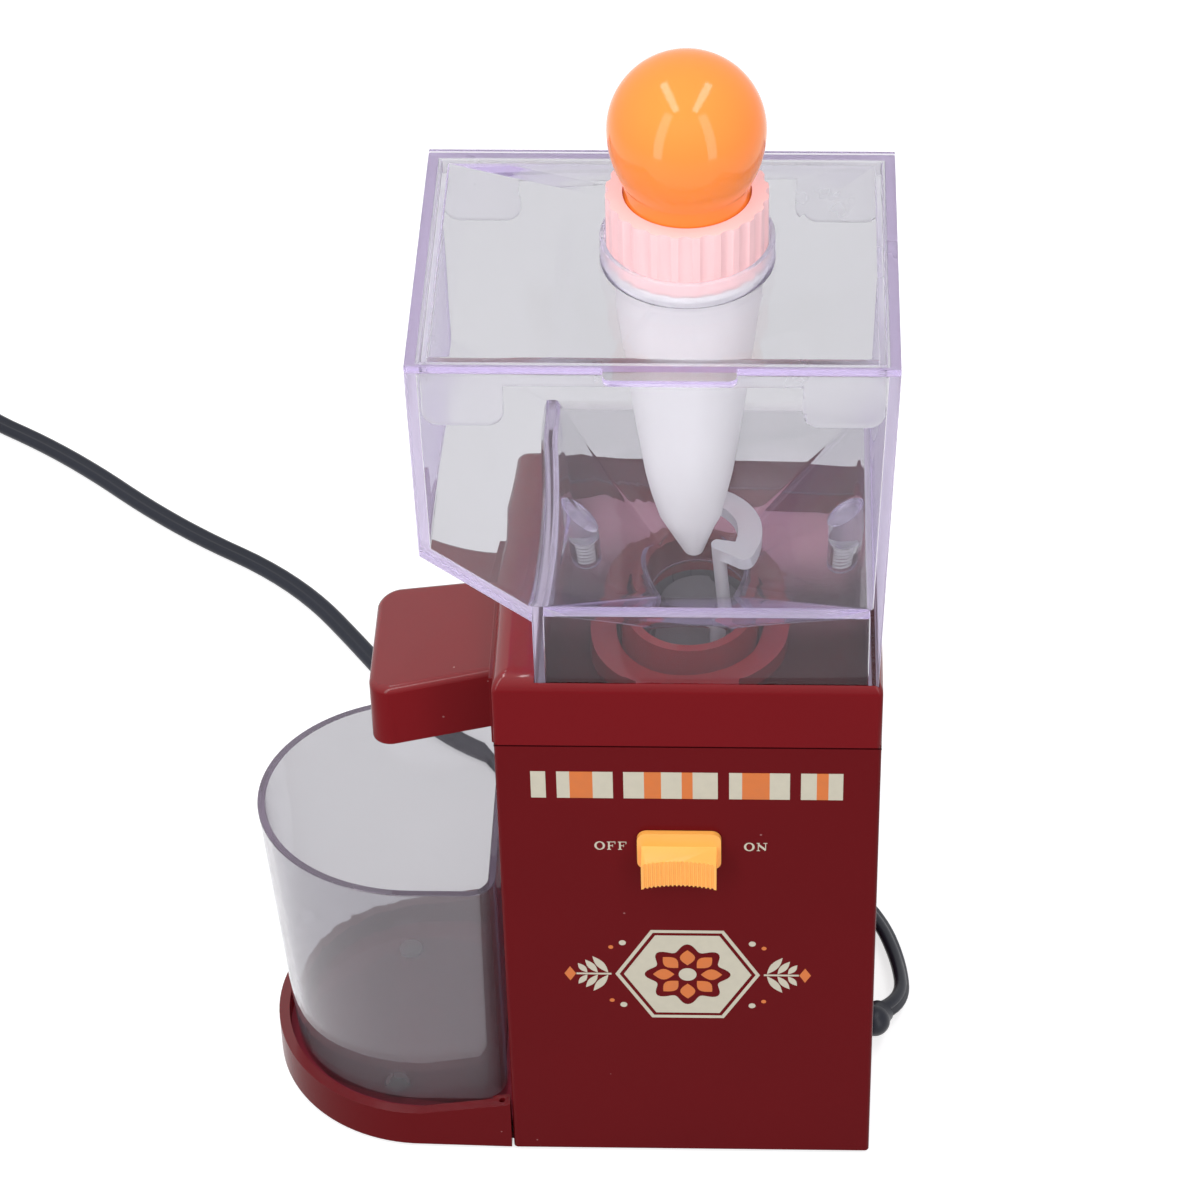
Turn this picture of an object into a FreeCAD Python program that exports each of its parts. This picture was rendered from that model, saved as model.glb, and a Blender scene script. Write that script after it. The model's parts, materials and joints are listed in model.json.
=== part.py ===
"""Small nut butter grinder: a geared motor in a moulded housing turns a burr under a clear hopper."""
import FreeCAD, Part
import math
import os
import Sketcher

document = FreeCAD.newDocument("NutButterGrinder")

# --------------------------------------------------------------------------------------------
# Driving dimensions, in millimetres and degrees. The construction axes are: x to the right from
# the middle of the housing, y to the back from its front face, z up from the ground.
# --------------------------------------------------------------------------------------------
DIMENSIONS = [
    # housing
    ("foot_height", 1.5, "rubber feet under the base"),
    ("housing_width", 95.0, "housing, left to right"),
    ("housing_depth", 84.5, "housing, front to back"),
    ("lower_height", 146.8, "lower housing, base to seam"),
    ("band_height", 22.0, "upper housing, seam to top"),
    ("housing_wall", 2.5, "moulded wall of both housings"),
    ("corner_round", 1.2, "upright corners of the housings"),
    ("shoulder_round", 5.0, "top left edge of the upper housing"),
    ("deck_thickness", 2.5, "floor of the upper housing"),
    ("platform_radius", 25.0, "raised ring round the throat"),
    ("platform_height", 4.7, "raised ring above the deck"),
    ("platform_well_radius", 18.6, "well inside the raised ring"),
    ("stem_width", 25.5, "rib from the raised ring to the front wall"),
    ("throat_ring_height", 10.7, "inner ring above the deck"),
    ("throat_ring_wall", 2.1, "wall of the inner ring"),
    ("boss_radius", 4.5, "screw bosses in the housing corners"),
    ("boss_inset", 4.0, "boss centre from the inner walls"),
    ("boss_length", 12.0, "lower boss of each corner pair"),
    ("seat_gap", 0.15, "between parts that locate each other"),
    ("boss_drop", 10.0, "upper boss below the seam"),
    ("base_boss_length", 14.0, "bosses over the base plate"),
    ("base_screw_grip", 9.0, "base screws in their bosses"),
    ("tongue_height", 3.0, "rim of the upper housing inside the lower"),
    ("tongue_wall", 1.2, "wall of that rim"),
    ("vent_count", 7, "slots in the back wall"),
    ("vent_width", 2.6, "width of a slot"),
    ("vent_length", 26.0, "height of a slot"),
    ("vent_pitch", 7.0, "slot to slot"),
    ("vent_height", 46.0, "middle of the slots above the base"),
    ("loose_gap", 0.3, "between parts that are only dropped in"),
    ("running_gap", 0.05, "between a shaft and its bearing, on the radius"),
    # hopper
    ("hopper_inset", 1.1, "hopper skirt inside the housing's outer faces"),
    ("hopper_wall", 2.5, "clear plastic wall"),
    ("shoulder_width", 10.6, "top of the housing left of the hopper"),
    ("skirt_depth", 12.0, "skirt inside the upper housing"),
    ("hopper_overhang", 25.9, "hopper bin beyond the skirt on the left"),
    ("side_flare", 2.8, "how far the right side leans out up to the rim"),
    ("bin_flare", 0.7, "how far the left side leans out up to the rim"),
    ("depth_flare", 2.0, "how far the front and back lean out up to the rim"),
    ("hopper_rise", 93.7, "rim of the hopper above the housing"),
    ("shoulder_rise", 17.5, "foot of the sloping side above the housing"),
    ("shoulder_height", 20.7, "height of the sloping side"),
    ("funnel_rim_rise", 21.2, "rim of the funnel above the housing"),
    ("throat_radius", 13.0, "hole at the foot of the funnel"),
    ("throat_drop", 6.8, "foot of the funnel below the housing's top"),
    ("funnel_thickness", 3.0, "funnel, measured upright"),
    ("collar_length", 10.0, "clear collar below the funnel"),
    ("collar_wall", 2.0, "wall of the clear collar"),
    ("pillar_radius", 4.2, "clear screw pillars of the hopper"),
    ("pillar_hole", 2.7, "threaded hole in a pillar, radius"),
    ("pillar_inset", 7.4, "pillar centre from the skirt's side"),
    ("pillar_hole_depth", 8.0, "threaded hole in a pillar"),
    ("pillar_drop", 3.8, "foot of a pillar below the housing's top"),
    # lid
    ("lid_thickness", 1.8, "lid plate"),
    ("lid_gap", 0.8, "rim under the lid to the hopper's wall"),
    ("lid_skirt_depth", 5.5, "rim under the lid plate"),
    ("lid_skirt_wall", 1.5, "wall of that rim"),
    ("tab_depth", 17.0, "long tabs under the lid plate"),
    ("tab_width", 18.8, "width of a tab"),
    ("tab_round", 4.0, "lower corners of a tab"),
    ("lip_width", 30.6, "finger lip"),
    ("lip_reach", 4.7, "finger lip beyond the hopper"),
    ("lip_left", 18.4, "left end of the finger lip from the middle"),
    ("seat_height", 6.5, "ring round the dropper"),
    ("seat_wall", 1.2, "wall of that ring"),
    ("ring_gap", 0.3, "screw ring to the neck, on the radius"),
    # oil dropper
    ("collar_outer", 19.0, "fluted screw ring, radius"),
    ("collar_height", 16.6, "fluted screw ring"),
    ("ring_lip", 2.0, "inner lip at the top of the screw ring"),
    ("flute_count", 24, "flutes round the screw ring"),
    ("flute_radius", 2.3, "cutter of a flute"),
    ("flute_depth", 0.75, "depth of a flute"),
    ("flange_thickness", 1.7, "flange of the cone on the lid"),
    ("neck_radius", 15.8, "threaded neck of the cone"),
    ("neck_height", 13.0, "neck above the flange"),
    ("dropper_wall", 1.6, "wall of the cone and the bulb"),
    ("cone_radius", 17.2, "top of the cone"),
    ("cone_shoulder_depth", 14.3, "straight part of the cone"),
    ("cone_waist_depth", 65.3, "waist of the cone below the lid plate"),
    ("cone_waist_radius", 10.8, "waist of the cone"),
    ("cone_nose_depth", 80.5, "nose of the cone below the lid plate"),
    ("cone_nose_radius", 8.0, "nose of the cone"),
    ("cone_length", 94.3, "cone below the lid plate"),
    ("drip_radius", 0.8, "hole in the tip"),
    ("tip_radius", 2.6, "end of the cone"),
    ("bulb_radius", 18.4, "squeeze bulb"),
    ("bulb_neck", 14.7, "neck of the bulb, radius"),
    ("bulb_rise", 17.0, "middle of the bulb above the screw ring"),
    # agitator and burrs
    ("hook_radius", 15.0, "middle of the agitator's hook"),
    ("hook_width", 6.0, "width of the hook"),
    ("hook_thickness", 3.6, "thickness of the hook"),
    ("hook_rise", 11.0, "underside of the hook above the throat"),
    ("hook_sweep", 105.0, "angle of the hook"),
    ("hook_end_angle", -30.0, "where the hook turns inwards"),
    ("peg_offset", 8.4, "peg of the agitator from the axis"),
    ("peg_angle", -37.0, "direction of the peg"),
    ("peg_radius", 1.8, "peg of the agitator"),
    ("peg_depth", 6.0, "peg in the rotor"),
    ("rotor_top_radius", 11.4, "top of the burr rotor"),
    ("rotor_foot_radius", 14.2, "foot of the burr rotor"),
    ("rotor_height", 18.5, "burr rotor"),
    ("burr_gap", 0.7, "between the burrs at the foot"),
    ("burr_ring_height", 11.3, "fixed burr ring"),
    ("burr_ring_outer", 17.2, "fixed burr ring, radius"),
    ("burr_ring_mouth", 15.5, "upper opening of the ring, radius"),
    ("burr_land", 2.0, "straight foot of the rotor"),
    ("rotor_lift", 1.0, "rotor above the chamber floor"),
    ("rotor_cap", 5.5, "rotor above the end of its shaft"),
    ("burr_tooth_count", 18, "teeth on each burr"),
    ("burr_tooth_depth", 1.3, "depth of a tooth gap"),
    ("feed_flute_count", 3, "large feeding flutes of the rotor"),
    # chamber and spout
    ("chamber_radius", 19.2, "outside of the grinding chamber"),
    ("chamber_flange_radius", 25.5, "flange under the deck"),
    ("chamber_flange", 3.0, "thickness of that flange"),
    ("chamber_depth", 19.8, "chamber below the deck"),
    ("chamber_floor", 2.0, "floor of the chamber"),
    ("duct_width", 28.0, "outlet duct, outside"),
    ("duct_height", 17.0, "outlet duct, outside"),
    ("duct_wall", 2.0, "wall of the duct"),
    ("seal_radius", 8.0, "shaft seal"),
    ("seal_height", 4.0, "shaft seal"),
    ("spout_reach", 33.0, "spout beyond the housing"),
    ("spout_root_width", 36.0, "spout at the housing"),
    ("spout_end_width", 40.5, "spout at its end"),
    ("spout_height", 18.6, "height of the spout"),
    ("spout_fall", 6.5, "how far the spout falls to its end"),
    ("spout_top", 3.2, "top of the spout's root above the seam"),
    ("spout_wall", 2.2, "wall of the spout"),
    ("spout_round", 6.0, "upright corners of the spout's end"),
    ("spout_edge", 2.0, "top edge of the spout"),
    ("spout_flange", 2.2, "plate at the spout's root"),
    ("spout_flange_margin", 3.2, "plate beyond the spout's sides"),
    ("spout_plate_lift", 0.0, "plate above the spout's root"),
    # gear train
    ("shaft_radius", 4.0, "output shaft"),
    ("gear_module", 0.8, "module of the first pair"),
    ("pressure_angle", 25.0, "of all teeth"),
    ("pinion_teeth", 12, "motor pinion"),
    ("wheel_teeth", 38, "large wheel of the layshaft"),
    ("lay_pinion_teeth", 12, "small wheel of the layshaft"),
    ("output_teeth", 28, "gear on the output shaft"),
    ("backlash", 0.16, "slack between two teeth"),
    ("gear_width", 8.0, "face width of the gears"),
    ("gear_step", 1.5, "height gap between gears and plates"),
    ("case_wall", 2.0, "gear case wall"),
    ("case_floor", 3.0, "gear case floor"),
    ("case_lid", 3.5, "gear case lid"),
    ("case_length_left", 18.0, "gear case left of the axis"),
    ("case_gap", 2.25, "gear case behind the switch"),
    ("lay_pin_radius", 2.0, "layshaft pin"),
    ("tie_radius", 22.3, "tie screws from the axis"),
    ("tie_angle", 60.0, "tie screws from the left-right line"),
    ("tie_post_radius", 2.7, "posts round the tie screws"),
    ("tie_hole", 1.6, "clearance hole of a tie screw, radius"),
    ("tie_screw_radius", 1.5, "tie screw"),
    ("tie_grip", 4.5, "tie screw in the deck"),
    ("screw_head_radius", 2.6, "head of a screw"),
    ("screw_head_height", 1.8, "head of a screw"),
    ("bush_proud", 3.0, "bush boss above the gear case lid"),
    ("bush_radius", 6.5, "bronze bush of the output shaft"),
    # motor
    ("motor_radius", 18.0, "motor can"),
    ("motor_length", 56.0, "motor can"),
    ("motor_wall", 1.2, "wall of the can"),
    ("motor_boss_radius", 6.5, "bearing boss of the motor"),
    ("motor_shaft_radius", 1.6, "motor shaft"),
    ("magnet_thickness", 3.4, "magnets of the motor"),
    ("magnet_length", 38.0, "magnets of the motor"),
    ("armature_radius", 12.8, "armature"),
    ("armature_length", 34.0, "armature stack"),
    ("armature_poles", 5, "poles of the armature"),
    ("coil_height", 5.0, "end turns above and below the armature"),
    ("commutator_radius", 4.5, "commutator"),
    ("end_cap_thickness", 5.0, "end cap of the motor"),
    ("end_cap_rim", 4.0, "rim of the end cap"),
    ("brush_width", 4.0, "brush, across and along the axis"),
    ("brush_slack", 0.15, "brush in its holder"),
    ("holder_wall", 1.25, "wall of a brush holder"),
    ("terminal_radius", 10.0, "terminals from the axis"),
    ("terminal_thickness", 0.8, "terminal blade"),
    ("terminal_width", 4.8, "terminal blade"),
    ("terminal_length", 5.0, "terminal below the end cap"),
    ("motor_screw_circle", 12.5, "motor screws from the axis"),
    # switch
    ("grip_width", 18.8, "ribbed thumb grip"),
    ("grip_reach", 7.0, "grip in front of the housing"),
    ("grip_rib_count", 17, "ribs on the grip"),
    ("plate_width", 21.0, "slider plate"),
    ("plate_height", 12.3, "slider plate"),
    ("plate_thickness", 1.3, "slider plate"),
    ("plate_round", 2.5, "corners of the slider plate"),
    ("grip_rise", 0.4, "top of the grip above the slider's middle"),
    ("grip_drop", 7.9, "foot of the grip below the slider's middle"),
    ("scoop_radius", 42.0, "hollow across the grip"),
    ("scoop_depth", 1.1, "hollow across the grip"),
    ("rib_radius", 0.35, "grooves between the ribs"),
    ("switch_height", 112.4, "middle of the slider above the base"),
    ("switch_rest", -2.3, "middle of the slider when off"),
    ("switch_travel", 4.0, "travel to on"),
    ("stem_half", 4.0, "half the slider's stem, left to right"),
    ("stem_rise", 2.0, "half the slider's stem, up and down"),
    ("stem_length", 5.2, "stem behind the front face"),
    ("peg_length", 2.0, "pegs that carry the switch"),
    ("switch_screw_span", 39.0, "switch screws, middle to middle"),
    ("switch_body_half", 13.0, "half the switch body"),
    ("switch_body_depth", 9.0, "switch body, front to back"),
    ("switch_body_height", 11.0, "switch body"),
    ("ear_thickness", 2.0, "ears of the switch body"),
    ("board_height", 62.0, "lower peg of the board above the base"),
    ("board_span", 32.0, "pegs of the board"),
    ("board_gap", 3.0, "board to the housing wall"),
    ("board_thickness", 1.6, "rectifier board"),
    ("board_width", 30.0, "rectifier board, front to back"),
    ("board_margin", 6.0, "board beyond its pegs"),
    ("diode_pitch", 6.5, "diode to diode"),
    ("diode_radius", 1.5, "diode"),
    ("diode_length", 8.0, "diode"),
    ("diode_height", 7.0, "foot of the diodes above the lower peg"),
    ("capacitor_radius", 5.0, "capacitor"),
    ("capacitor_length", 12.5, "capacitor"),
    ("capacitor_height", 25.0, "capacitor above the lower peg"),
    ("slider_gap", 0.15, "slider in front of the housing"),
    # tray and cup
    ("base_thickness", 3.0, "base plate"),
    ("neck_inset", 3.0, "neck of the tray from the front and back"),
    ("lug_length", 4.7, "corner lugs of the tray"),
    ("lug_depth", 4.0, "corner lugs of the tray"),
    ("tray_inset", 0.65, "round end of the tray inside the housing's front and back"),
    ("tray_centre", 24.5, "middle of the round end from the housing"),
    ("tray_wall", 2.8, "rim of the tray"),
    ("tray_rim", 12.0, "rim of the tray above the base"),
    ("tray_rim_rise", 4.5, "how much the rim rises to the housing"),
    ("tray_floor", 5.0, "tray floor above the base"),
    ("tray_gap", 0.5, "tray to housing"),
    ("dimple_radius", 0.8, "dimple in each lug"),
    ("dimple_inset", 2.1, "dimples from the front and back"),
    ("dimple_reach", 2.2, "dimples from the housing"),
    ("pillar_wall", 2.8, "wall of the pillar under the motor"),
    ("foot_radius", 5.0, "rubber feet"),
    ("foot_side", 33.0, "feet under the housing, left and right of the axis"),
    ("foot_inset", 16.0, "feet under the housing from its front and back"),
    ("tray_foot_reach", 4.0, "feet under the tray beyond the middle of its round end"),
    ("tray_foot_spread", 27.0, "feet under the tray in front of and behind the axis"),
    ("motor_rest_radius", 16.0, "pillar under the motor"),
    ("damper_height", 3.0, "rubber ring under the motor"),
    ("cup_height", 84.7, "cup"),
    ("cup_wall", 2.0, "wall of the cup"),
    ("cup_foot_gap", 1.6, "cup's foot inside the tray's rim"),
    ("cup_narrowing", 4.6, "how much less deep than round the cup's foot is"),
    ("cup_end_flare", 5.2, "how far the round end leans out up to the rim"),
    ("cup_side_flare", 4.8, "how far the straight sides lean out up to the rim"),
    ("cup_flat", 2.2, "flat side of the cup from the housing"),
    ("cup_straight", 21.8, "straight sides of the cup"),
    ("pip_radius", 3.2, "pips on the cup's floor"),
    ("pip_height", 0.8, "pips above the cup's floor"),
    ("pip_inset", 8.0, "pips beyond the end of the straight sides"),
    ("pip_spread", 25.0, "pips to each side of the middle"),
    # cord
    ("cord_width", 6.0, "mains lead"),
    ("exit_height", 8.0, "cord exit above the base"),
    ("exit_depth", 40.0, "cord exit behind the front face"),
    ("grommet_radius", 4.5, "grommet"),
    ("knuckle_reach", 1.9, "ball of the grommet outside the housing"),
    ("plug_offset", 78.0, "back of the plug in front of the coil's middle"),
    ("plug_length", 34.0, "plug"),
    ("plug_width", 26.0, "plug"),
    ("plug_thickness", 14.0, "plug"),
    ("plug_pin_radius", 2.0, "plug pins"),
    ("plug_pin_length", 19.0, "plug pins"),
    ("plug_pin_pitch", 19.0, "plug pins, middle to middle"),
    ("coil_mean_radius", 33.0, "coil of spare cord, middle of its turns"),
    ("coil_turn_width", 13.0, "coil, across its turns"),
    ("coil_turn_height", 8.0, "coil"),
]


# --------------------------------------------------------------------------------------------
# Sizes that know both their number and the sheet formula behind it
# --------------------------------------------------------------------------------------------
class Size:
    """A length, angle or count with its number and the sheet formula that gives it."""

    def __init__(self, number, formula):
        self.number = float(number)
        self.formula = formula

    def __add__(self, other):
        other = as_size(other)
        return Size(self.number + other.number, f"({self.formula} + {other.formula})")

    def __sub__(self, other):
        other = as_size(other)
        return Size(self.number - other.number, f"({self.formula} - {other.formula})")

    def __mul__(self, other):
        other = as_size(other)
        return Size(self.number * other.number, f"({self.formula} * {other.formula})")

    def __truediv__(self, other):
        other = as_size(other)
        return Size(self.number / other.number, f"({self.formula} / {other.formula})")

    def __neg__(self):
        return Size(-self.number, f"(0 - {self.formula})")

    def __radd__(self, other):
        return as_size(other) + self

    def __rsub__(self, other):
        return as_size(other) - self

    def __rmul__(self, other):
        return as_size(other) * self

    def __rtruediv__(self, other):
        return as_size(other) / self

    def __float__(self):
        return self.number


def as_size(value):
    return value if isinstance(value, Size) else Size(value, f"({float(value):.6f})")


def cosine(angle):
    angle = as_size(angle)
    return Size(math.cos(math.radians(angle.number)), f"cos({angle.formula})")


def sine(angle):
    angle = as_size(angle)
    return Size(math.sin(math.radians(angle.number)), f"sin({angle.formula})")


def root(value):
    value = as_size(value)
    return Size(math.sqrt(value.number), f"sqrt({value.formula})")


class SizeSheet:
    """The spreadsheet of driving dimensions, each read as an attribute."""

    def __init__(self, dimensions):
        sheet = document.addObject("Spreadsheet::Sheet", "Sizes")
        for row, (alias, value, meaning) in enumerate(dimensions, start=1):
            sheet.set(f"A{row}", alias)
            sheet.set(f"B{row}", str(value))
            sheet.set(f"C{row}", meaning)
            sheet.setAlias(f"B{row}", alias)
            setattr(self, alias, Size(value, f"Sizes.{alias}"))


size = SizeSheet(DIMENSIONS)
document.recompute()


# --------------------------------------------------------------------------------------------
# Ways to make a shape: each returns an object of the document, tied to the sheet
# --------------------------------------------------------------------------------------------
places = {}
nodes = []
turn_to = {
    "z": FreeCAD.Rotation(),
    "x": FreeCAD.Rotation(FreeCAD.Vector(0, 1, 0), 90),
    "y": FreeCAD.Rotation(FreeCAD.Vector(1, 0, 0), -90),
}


def tie(target, **values):
    for path, value in values.items():
        target.setExpression(path, as_size(value).formula)
    return target


def place(target, x=0, y=0, z=0):
    places[target.Name] = (as_size(x), as_size(y), as_size(z))
    target.setExpression("Placement.Base.x", places[target.Name][0].formula)
    target.setExpression("Placement.Base.y", places[target.Name][1].formula)
    target.setExpression("Placement.Base.z", places[target.Name][2].formula)
    return target


def block(name, low, high):
    """A box between two corners."""
    box = document.addObject("Part::Box", name)
    tie(box, Length=high[0] - as_size(low[0]), Width=high[1] - as_size(low[1]))
    tie(box, Height=high[2] - as_size(low[2]))
    return place(box, *low)


def post(name, foot, radius, length, along="z", angle=None, turn=0.0):
    """A cylinder from its foot along an axis, or a sector of one about z."""
    cylinder = document.addObject("Part::Cylinder", name)
    cylinder.Placement = FreeCAD.Placement(FreeCAD.Vector(), turn_to[along])
    if turn:
        cylinder.Placement = FreeCAD.Placement(
            FreeCAD.Vector(), FreeCAD.Rotation(FreeCAD.Vector(0, 0, 1), turn)
        )
    tie(cylinder, Radius=radius, Height=length)
    if angle is not None:
        tie(cylinder, Angle=angle)
    return place(cylinder, *foot)


def ball(name, centre, radius):
    sphere = document.addObject("Part::Sphere", name)
    tie(sphere, Radius=radius)
    return place(sphere, *centre)


def frustum_up(name, foot_z, top_z, foot, top):
    """A four-sided block that changes from one rectangle (x0, x1, y0, y1) to another as it rises."""
    wedge = document.addObject("Part::Wedge", name)
    wedge.Placement = FreeCAD.Placement(FreeCAD.Vector(), FreeCAD.Rotation(FreeCAD.Vector(1, 0, 0), 90))
    tie(wedge, Xmin=foot[0], Xmax=foot[1], Zmin=-as_size(foot[3]), Zmax=-as_size(foot[2]))
    tie(wedge, X2min=top[0], X2max=top[1], Z2min=-as_size(top[3]), Z2max=-as_size(top[2]))
    tie(wedge, Ymin=foot_z, Ymax=top_z)
    return place(wedge)


def frustum_left(name, root_x, end_x, near, far):
    """A four-sided block that changes from one rectangle (y0, y1, z0, z1) to another towards the left."""
    wedge = document.addObject("Part::Wedge", name)
    wedge.Placement = FreeCAD.Placement(FreeCAD.Vector(), FreeCAD.Rotation(FreeCAD.Vector(0, 0, 1), 90))
    tie(wedge, Xmin=near[0], Xmax=near[1], Zmin=near[2], Zmax=near[3])
    tie(wedge, X2min=far[0], X2max=far[1], Z2min=far[2], Z2max=far[3])
    tie(wedge, Ymin=-as_size(root_x), Ymax=-as_size(end_x))
    return place(wedge)


def fuse(name, *members):
    joined = document.addObject("Part::MultiFuse", name)
    joined.Shapes = list(members)
    joined.Refine = True
    return joined


def group(name, *members):
    bundle = document.addObject("Part::Compound", name)
    bundle.Links = list(members)
    return bundle


def cut(name, base, *tools):
    result = document.addObject("Part::Cut", name)
    result.Base = base
    result.Tool = tools[0] if len(tools) == 1 else fuse(f"{name}_tools", *tools)
    result.Refine = True
    return result


def common(name, first, second):
    result = document.addObject("Part::MultiCommon", name)
    result.Shapes = [first, second]
    return result


def rounded(name, base, radius, wanted):
    """Round the edges that a test picks."""
    document.recompute()
    result = document.addObject("Part::Fillet", name)
    result.Base = base
    chosen = [index for index, edge in enumerate(base.Shape.Edges, start=1) if wanted(edge)]
    if not chosen:
        raise ValueError(f"{name}: no edge to round")
    result.Edges = [(index, float(radius), float(radius)) for index in chosen]
    return result


def runs_along(edge, axis):
    """Whether an edge is straight along an axis."""
    if not isinstance(edge.Curve, (Part.Line, Part.LineSegment)):
        return False
    first, last = edge.Vertexes[0].Point, edge.Vertexes[-1].Point
    direction = (last - first).normalize()
    return abs(getattr(direction, axis)) > 0.999


def middle(edge):
    return edge.CenterOfMass


def sketch_on(body, role, corners, offset=0):
    """A closed outline of straight lines on one of the body's planes, every corner tied to the sheet."""
    plane = next(feature for feature in body.Origin.OriginFeatures if feature.Role == role)
    sketch = body.newObject("Sketcher::SketchObject", f"{body.Name}_outline")
    sketch.AttachmentSupport = (plane, [""])
    sketch.MapMode = "FlatFace"
    sketch.setExpression("AttachmentOffset.Base.z", as_size(offset).formula)
    corners = [(as_size(x), as_size(y)) for x, y in corners]
    points = [FreeCAD.Vector(x.number, y.number, 0) for x, y in corners]
    count = len(points)
    for index in range(count):
        sketch.addGeometry(Part.LineSegment(points[index], points[(index + 1) % count]), False)
    for index in range(count):
        sketch.addConstraint(Sketcher.Constraint("Coincident", index, 2, (index + 1) % count, 1))
    for index, (x, y) in enumerate(corners):
        for kind, value, axis in (("DistanceX", x, -2), ("DistanceY", y, -1)):
            if abs(value.number) < 1e-9:
                sketch.addConstraint(Sketcher.Constraint("PointOnObject", index, 1, axis))
                continue
            row = sketch.addConstraint(Sketcher.Constraint(kind, -1, 1, index, 1, value.number))
            sketch.setExpression(f"Constraints[{row}]", value.formula)
    return sketch


def turned(name, profile, at=(0, 0, 0)):
    """A solid of revolution about a vertical axis, from (radius, height) corners."""
    body = document.addObject("PartDesign::Body", name)
    sketch = sketch_on(body, "XZ_Plane", profile)
    feature = body.newObject("PartDesign::Revolution", f"{name}_turn")
    feature.Profile = sketch
    feature.ReferenceAxis = (sketch, ["V_Axis"])
    feature.Angle = 360
    return place(body, *at)


def slab(name, plane, corners, start, length):
    """An outline pulled from a start level along +z (XY), +y (XZ) or +x (YZ)."""
    body = document.addObject("PartDesign::Body", name)
    flipped = plane == "XZ"
    offset = -as_size(start) if flipped else start
    sketch = sketch_on(body, f"{plane}_Plane", corners, offset)
    feature = body.newObject("PartDesign::Pad", f"{name}_pad")
    feature.Profile = sketch
    feature.Reversed = flipped
    tie(feature, Length=length)
    return place(body)


def repeated_round(body, sketch_corners, depth_start, depth, count, name):
    """Pocket an outline into a turned body and repeat it about the body's own axis."""
    document.recompute()
    before = body.Shape.Volume
    sketch = sketch_on(body, "XY_Plane", sketch_corners, depth_start)
    pocket = body.newObject("PartDesign::Pocket", f"{name}_gap")
    pocket.Profile = sketch
    pocket.Reversed = True
    tie(pocket, Length=depth)
    document.recompute()
    if not body.Shape.Volume < before:
        raise ValueError(f"{name}: the gap cuts nothing")
    axis = next(feature for feature in body.Origin.OriginFeatures if feature.Role == "Z_Axis")
    pattern = body.newObject("PartDesign::PolarPattern", f"{name}_teeth")
    pattern.Originals = [pocket]
    pattern.Axis = (axis, [""])
    pattern.Angle = 360
    tie(pattern, Occurrences=count)
    body.Tip = pattern
    return body


def made(name, shape):
    """A shape that only Part's own functions can make, kept as an object."""
    feature = document.addObject("Part::Feature", name)
    feature.Shape = shape
    return feature


def node(label, target):
    """Name a finished piece and move it from the construction axes to the model's origin."""
    x, y, z = places.get(target.Name, (as_size(0), as_size(0), as_size(0)))
    place(target, x - origin_x, y - origin_y, z)
    target.Label = label
    nodes.append(target)
    return target


# --------------------------------------------------------------------------------------------
# Levels and lines that several pieces share
# --------------------------------------------------------------------------------------------
wall = size.housing_wall
base_z = size.foot_height
seam_z = base_z + size.lower_height
top_z = seam_z + size.band_height
deck_z = seam_z + size.deck_thickness
right_x = size.housing_width / 2
left_x = -right_x
back_y = size.housing_depth
axis_y = size.housing_depth / 2

# hopper
skirt_right = right_x - size.hopper_inset
skirt_left = left_x + size.shoulder_width
skirt_front = size.hopper_inset
skirt_back = back_y - size.hopper_inset
skirt_foot = top_z - size.skirt_depth
rim_z = top_z + size.hopper_rise
bin_left = skirt_left - size.hopper_overhang
rim_left = bin_left - size.bin_flare
rim_right = skirt_right + size.side_flare
rim_front = skirt_front - size.depth_flare
rim_back = skirt_back + size.depth_flare
slope_foot_z = top_z + size.shoulder_rise
slope_top_z = slope_foot_z + size.shoulder_height
funnel_rim_z = top_z + size.funnel_rim_rise
throat_z = top_z - size.throat_drop
collar_foot = throat_z - size.collar_length
collar_radius = size.throat_radius + size.collar_wall
throat_bore = collar_radius + size.loose_gap

# lid and dropper
plate_top = rim_z + size.lid_thickness
flange_top = plate_top + size.flange_thickness
neck_top = flange_top + size.neck_height
ring_foot = flange_top + size.loose_gap
ring_top = ring_foot + size.collar_height
bulb_z = ring_top + size.bulb_rise

# grinding chamber, seen downwards from the seam
chamber_foot = seam_z - size.chamber_depth
floor_top = chamber_foot + size.chamber_floor
rotor_foot = floor_top + size.rotor_lift
rotor_top = rotor_foot + size.rotor_height
burr_foot = seam_z - size.burr_ring_height
seal_foot = chamber_foot - size.seal_height
case_lid_top = seal_foot - size.bush_proud
case_lid_foot = case_lid_top - size.case_lid

# gears, seen downwards from the case lid
output_top = case_lid_foot - size.gear_step
output_foot = output_top - size.gear_width
wheel_top = output_foot - size.gear_step
wheel_foot = wheel_top - size.gear_width
case_floor_top = wheel_foot - size.gear_step
case_foot = case_floor_top - size.case_floor
lay_distance = size.gear_module * (size.pinion_teeth + size.wheel_teeth) / 2
output_module = 2 * lay_distance / (size.lay_pinion_teeth + size.output_teeth)
wheel_outer = size.gear_module * (size.wheel_teeth / 2 + 1)
case_left = -size.case_length_left
case_half = axis_y - wall - size.peg_length - size.switch_body_depth - size.case_gap
case_right = lay_distance + wheel_outer + 0.8 + size.case_wall

# motor, seen downwards from the gear case
motor_top = case_foot
motor_foot = motor_top - size.motor_length
cap_foot = motor_foot - size.end_cap_thickness
damper_foot = cap_foot - size.damper_height

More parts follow.
